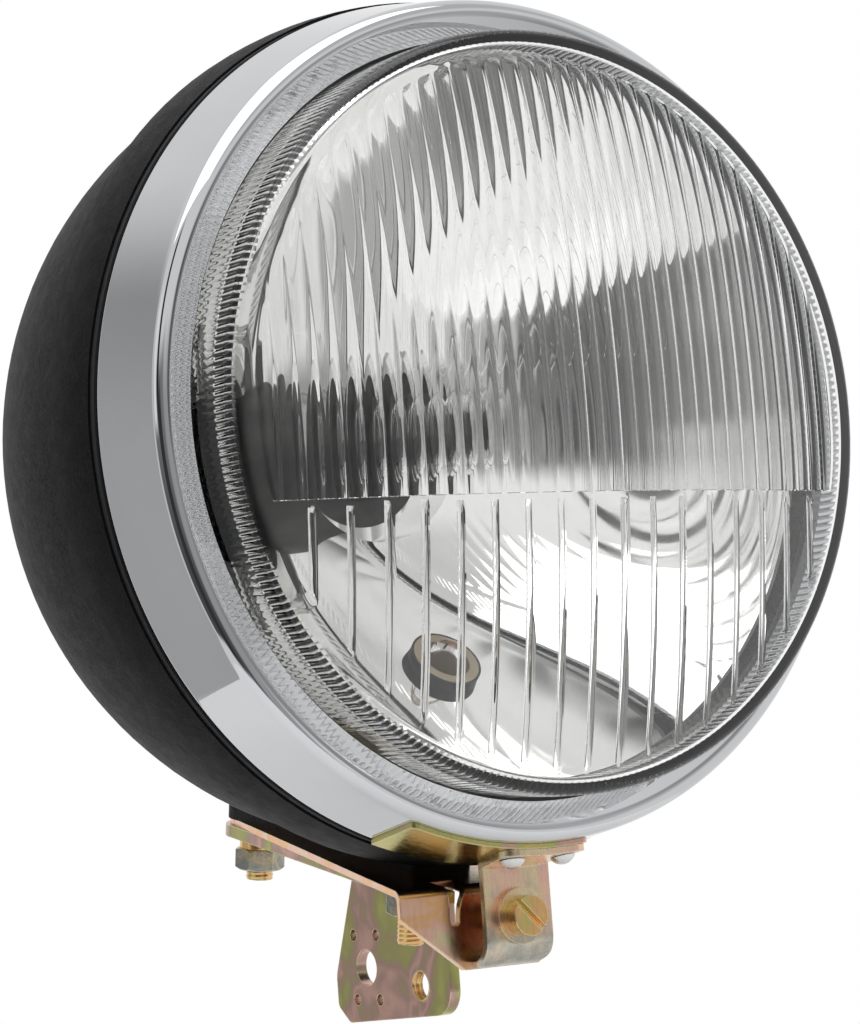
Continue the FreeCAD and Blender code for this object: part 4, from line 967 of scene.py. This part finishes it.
def make_materials():
    """Dress every node that no finer piece stands for; returns the screws' zinc."""
    dress(["main_bulb_glass", "pilot_bulb_glass"], bulb_glass())
    dress(["housing"], housing_plastic())
    dress(["housing_gasket", "cable_grommet"], rubber("black_rubber", grey(0.01), grey(0.014)))
    dress(["lens_seal"], rubber("seal_rubber", grey(0.30), grey(0.36)))
    dress(["bulb_connector"], moulded_plastic("plug_plastic", grey(0.02), grey(0.03)))
    dress(["pilot_holder"], pilot_plastic())
    dress(["saddle_bracket"], zinc("zinc_saddle", SADDLE_STOPS))
    dress(["mount_bracket"], zinc("zinc_sheet", SHEET_STOPS))
    dress(["rim_lug", "rim_hook"], zinc("zinc_lug", LUG_STOPS))
    dress(["clamp_clip", "clamp_washer"], clip_zinc())
    screw = zinc("zinc_screw", SCREW_STOPS, (0.13, 0.24), 120.0)
    dress(["clamp_screw", "bracket_screws", "lock_washers"], screw)
    dress(["clamp_nut", "bracket_nuts"], zinc("zinc_nut", NUT_STOPS, (0.08, 0.16), 160.0))
    dress(["lug_rivets"], metal("rivet_metal", grey(0.55), (0.72, 0.72, 0.71), (0.25, 0.45)))
    dress(["retaining_springs"], metal("spring_steel", (0.42, 0.42, 0.43), (0.55, 0.55, 0.56), (0.25, 0.4)))
    dress(["bulb_retainer"], metal("brown_metal", (0.22, 0.15, 0.10), (0.34, 0.24, 0.16), (0.25, 0.4)))
    dress(["pilot_bulb_base"], metal("pilot_metal", (0.40, 0.20, 0.08), (0.52, 0.28, 0.12), (0.35, 0.5)))
    dress(["main_bulb_base"], metal("bulb_steel", grey(0.09), (0.14, 0.14, 0.135), (0.42, 0.55)))
    dress(["bulb_shield"], metal("dark_metal", (0.02, 0.018, 0.017), (0.035, 0.031, 0.03), (0.3, 0.42)))
    return screw


# Stage
def world_studio():
    """White behind the object; reflections see a light tent with grey sides and a dark opening."""
    world = bpy.data.worlds.new("studio")
    bpy.context.scene.world = world
    world.use_nodes = True
    tree = world.node_tree
    tree.nodes.clear()

    def add(kind, **values):
        made = tree.nodes.new(kind)
        for key, value in values.items():
            setattr(made, key, value)
        return made

    def put(target, value):
        if isinstance(value, (int, float)):
            target.default_value = value
        else:
            tree.links.new(value, target)

    def sums(operation, one, two=0.0):
        made = add("ShaderNodeMath", operation=operation)
        put(made.inputs[0], one)
        put(made.inputs[1], two)
        return made.outputs[0]

    def step(value, low, high):
        made = add("ShaderNodeMapRange", interpolation_type="SMOOTHSTEP")
        put(made.inputs["Value"], value)
        put(made.inputs["From Min"], low)
        put(made.inputs["From Max"], high)
        return made.outputs["Result"]

    def blend(factor, low, high):
        made = add("ShaderNodeMapRange")
        put(made.inputs["Value"], factor)
        put(made.inputs["To Min"], low)
        put(made.inputs["To Max"], high)
        return made.outputs["Result"]

    place = add("ShaderNodeTexCoord").outputs["Generated"]
    split = add("ShaderNodeSeparateXYZ")
    tree.links.new(place, split.inputs[0])
    x, y, z = split.outputs
    azimuth = sums("MULTIPLY", sums("ARCTAN2", x, sums("MULTIPLY", y, -1.0)), 180 / math.pi)
    elevation = sums("MULTIPLY", sums("ARCSINE", z), 180 / math.pi)

    def between(value, low, low_soft, high, high_soft):
        """1 between two limits, with its own soft edge at each."""
        rise = step(value, low - low_soft, low + low_soft)
        fall = step(value, high - high_soft, high + high_soft)
        return sums("MULTIPLY", rise, sums("SUBTRACT", 1.0, fall))

    def patch(across, up):
        return sums("MULTIPLY", between(azimuth, *across), between(elevation, *up))

    level = TENT_WHITE
    for across, up, tone in TENT_PANELS:
        if isinstance(tone, tuple):
            low, high, from_height, to_height = tone
            tone = blend(step(elevation, from_height, to_height), low, high)
        level = blend(patch(across, up), level, tone)

    rays = add("ShaderNodeLightPath").outputs
    shown = sums("MAXIMUM", rays["Is Glossy Ray"], rays["Is Transmission Ray"])
    level = blend(shown, sums("MULTIPLY", level, SOFT_LIGHT), level)
    level = blend(rays["Is Camera Ray"], level, 1.0)
    background = add("ShaderNodeBackground")
    background.inputs["Color"].default_value = WHITE
    put(background.inputs["Strength"], level)
    output = add("ShaderNodeOutputWorld")
    tree.links.new(background.outputs[0], output.inputs["Surface"])


def floor():
    """Pale round table under the object; white to the camera where no shadow falls."""
    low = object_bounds()[0]
    mesh = bpy.data.meshes.new("floor")
    points = [Vector((math.cos(a), math.sin(a), 0.0)) * FLOOR_RADIUS for a in even_angles(FLOOR_SIDES)]
    mesh.from_pydata(points, [], [tuple(range(FLOOR_SIDES))])
    table = bpy.data.objects.new("floor", mesh)
    table.location = (LAMP.x, LAMP.y, low[2] - FLOOR_DROP)
    bpy.context.scene.collection.objects.link(table)
    s = Shader("floor_paper")
    s.set(Roughness=0.9, Emission_Color=WHITE, Emission_Strength=FLOOR_GLOW)
    s.colour_from(s.noise(20), [(0.3, grey(0.84)), (0.7, grey(0.87))])
    mesh.materials.append(s.material)
    table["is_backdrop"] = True


def top_box():
    """One soft square light over the object."""
    data = bpy.data.lights.new("top_box", "AREA")
    data.shape = "RECTANGLE"
    data.size = TOP_BOX_SIZE
    data.size_y = TOP_BOX_SIZE
    data.energy = TOP_BOX_POWER
    made = bpy.data.objects.new("top_box", data)
    place = lamp_point(*TOP_BOX_PLACE)
    made.location = place
    made.rotation_euler = (LAMP - place).to_track_quat("-Z", "Y").to_euler()
    bpy.context.scene.collection.objects.link(made)


def camera():
    """Looks at the lamp from the left and a little from below."""
    az, el, roll = (math.radians(v) for v in (CAMERA_AZIMUTH, CAMERA_ELEVATION, CAMERA_ROLL))
    back = Vector((math.sin(az) * math.cos(el), -math.cos(az) * math.cos(el), math.sin(el)))
    flat = Vector((math.cos(az), math.sin(az), 0.0))
    rise = back.cross(flat)
    right = flat * math.cos(roll) + rise * math.sin(roll)
    up = rise * math.cos(roll) - flat * math.sin(roll)
    data = bpy.data.cameras.new("camera")
    data.sensor_fit = "HORIZONTAL"
    data.sensor_width = SENSOR
    data.lens = FOCAL_PIXELS * SENSOR / IMAGE_WIDTH
    data.clip_start = 0.01
    made = bpy.data.objects.new("camera", data)
    place = LAMP + (back * CAMERA_DISTANCE + right * CAMERA_RIGHT + up * CAMERA_UP) * MM
    turn = Matrix((right, up, back)).transposed().to_4x4()
    made.matrix_world = Matrix.Translation(place) @ turn
    bpy.context.scene.collection.objects.link(made)
    bpy.context.scene.camera = made


def light_paths():
    """Long enough paths for light that runs about between the glass and the mirror."""
    paths = bpy.context.scene.cycles
    paths.max_bounces = PATH_LENGTH
    paths.glossy_bounces = PATH_LENGTH
    paths.transmission_bounces = PATH_LENGTH


def stand_in(piece, node, material):
    """Hand over a finer piece that stands for one node."""
    piece.data.materials.append(material)
    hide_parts(node)
    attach(piece, "root")


def main():
    bpy.context.scene.view_settings.view_transform = "Standard"
    light_paths()
    add_threads(make_materials())
    stand_in(pressed_lens(), "lens", lens_glass())
    stand_in(chrome_rim(), "rim", chrome())
    stand_in(mirror_bowl(), "reflector", mirror())
    floor()
    world_studio()
    top_box()
    camera()


main()
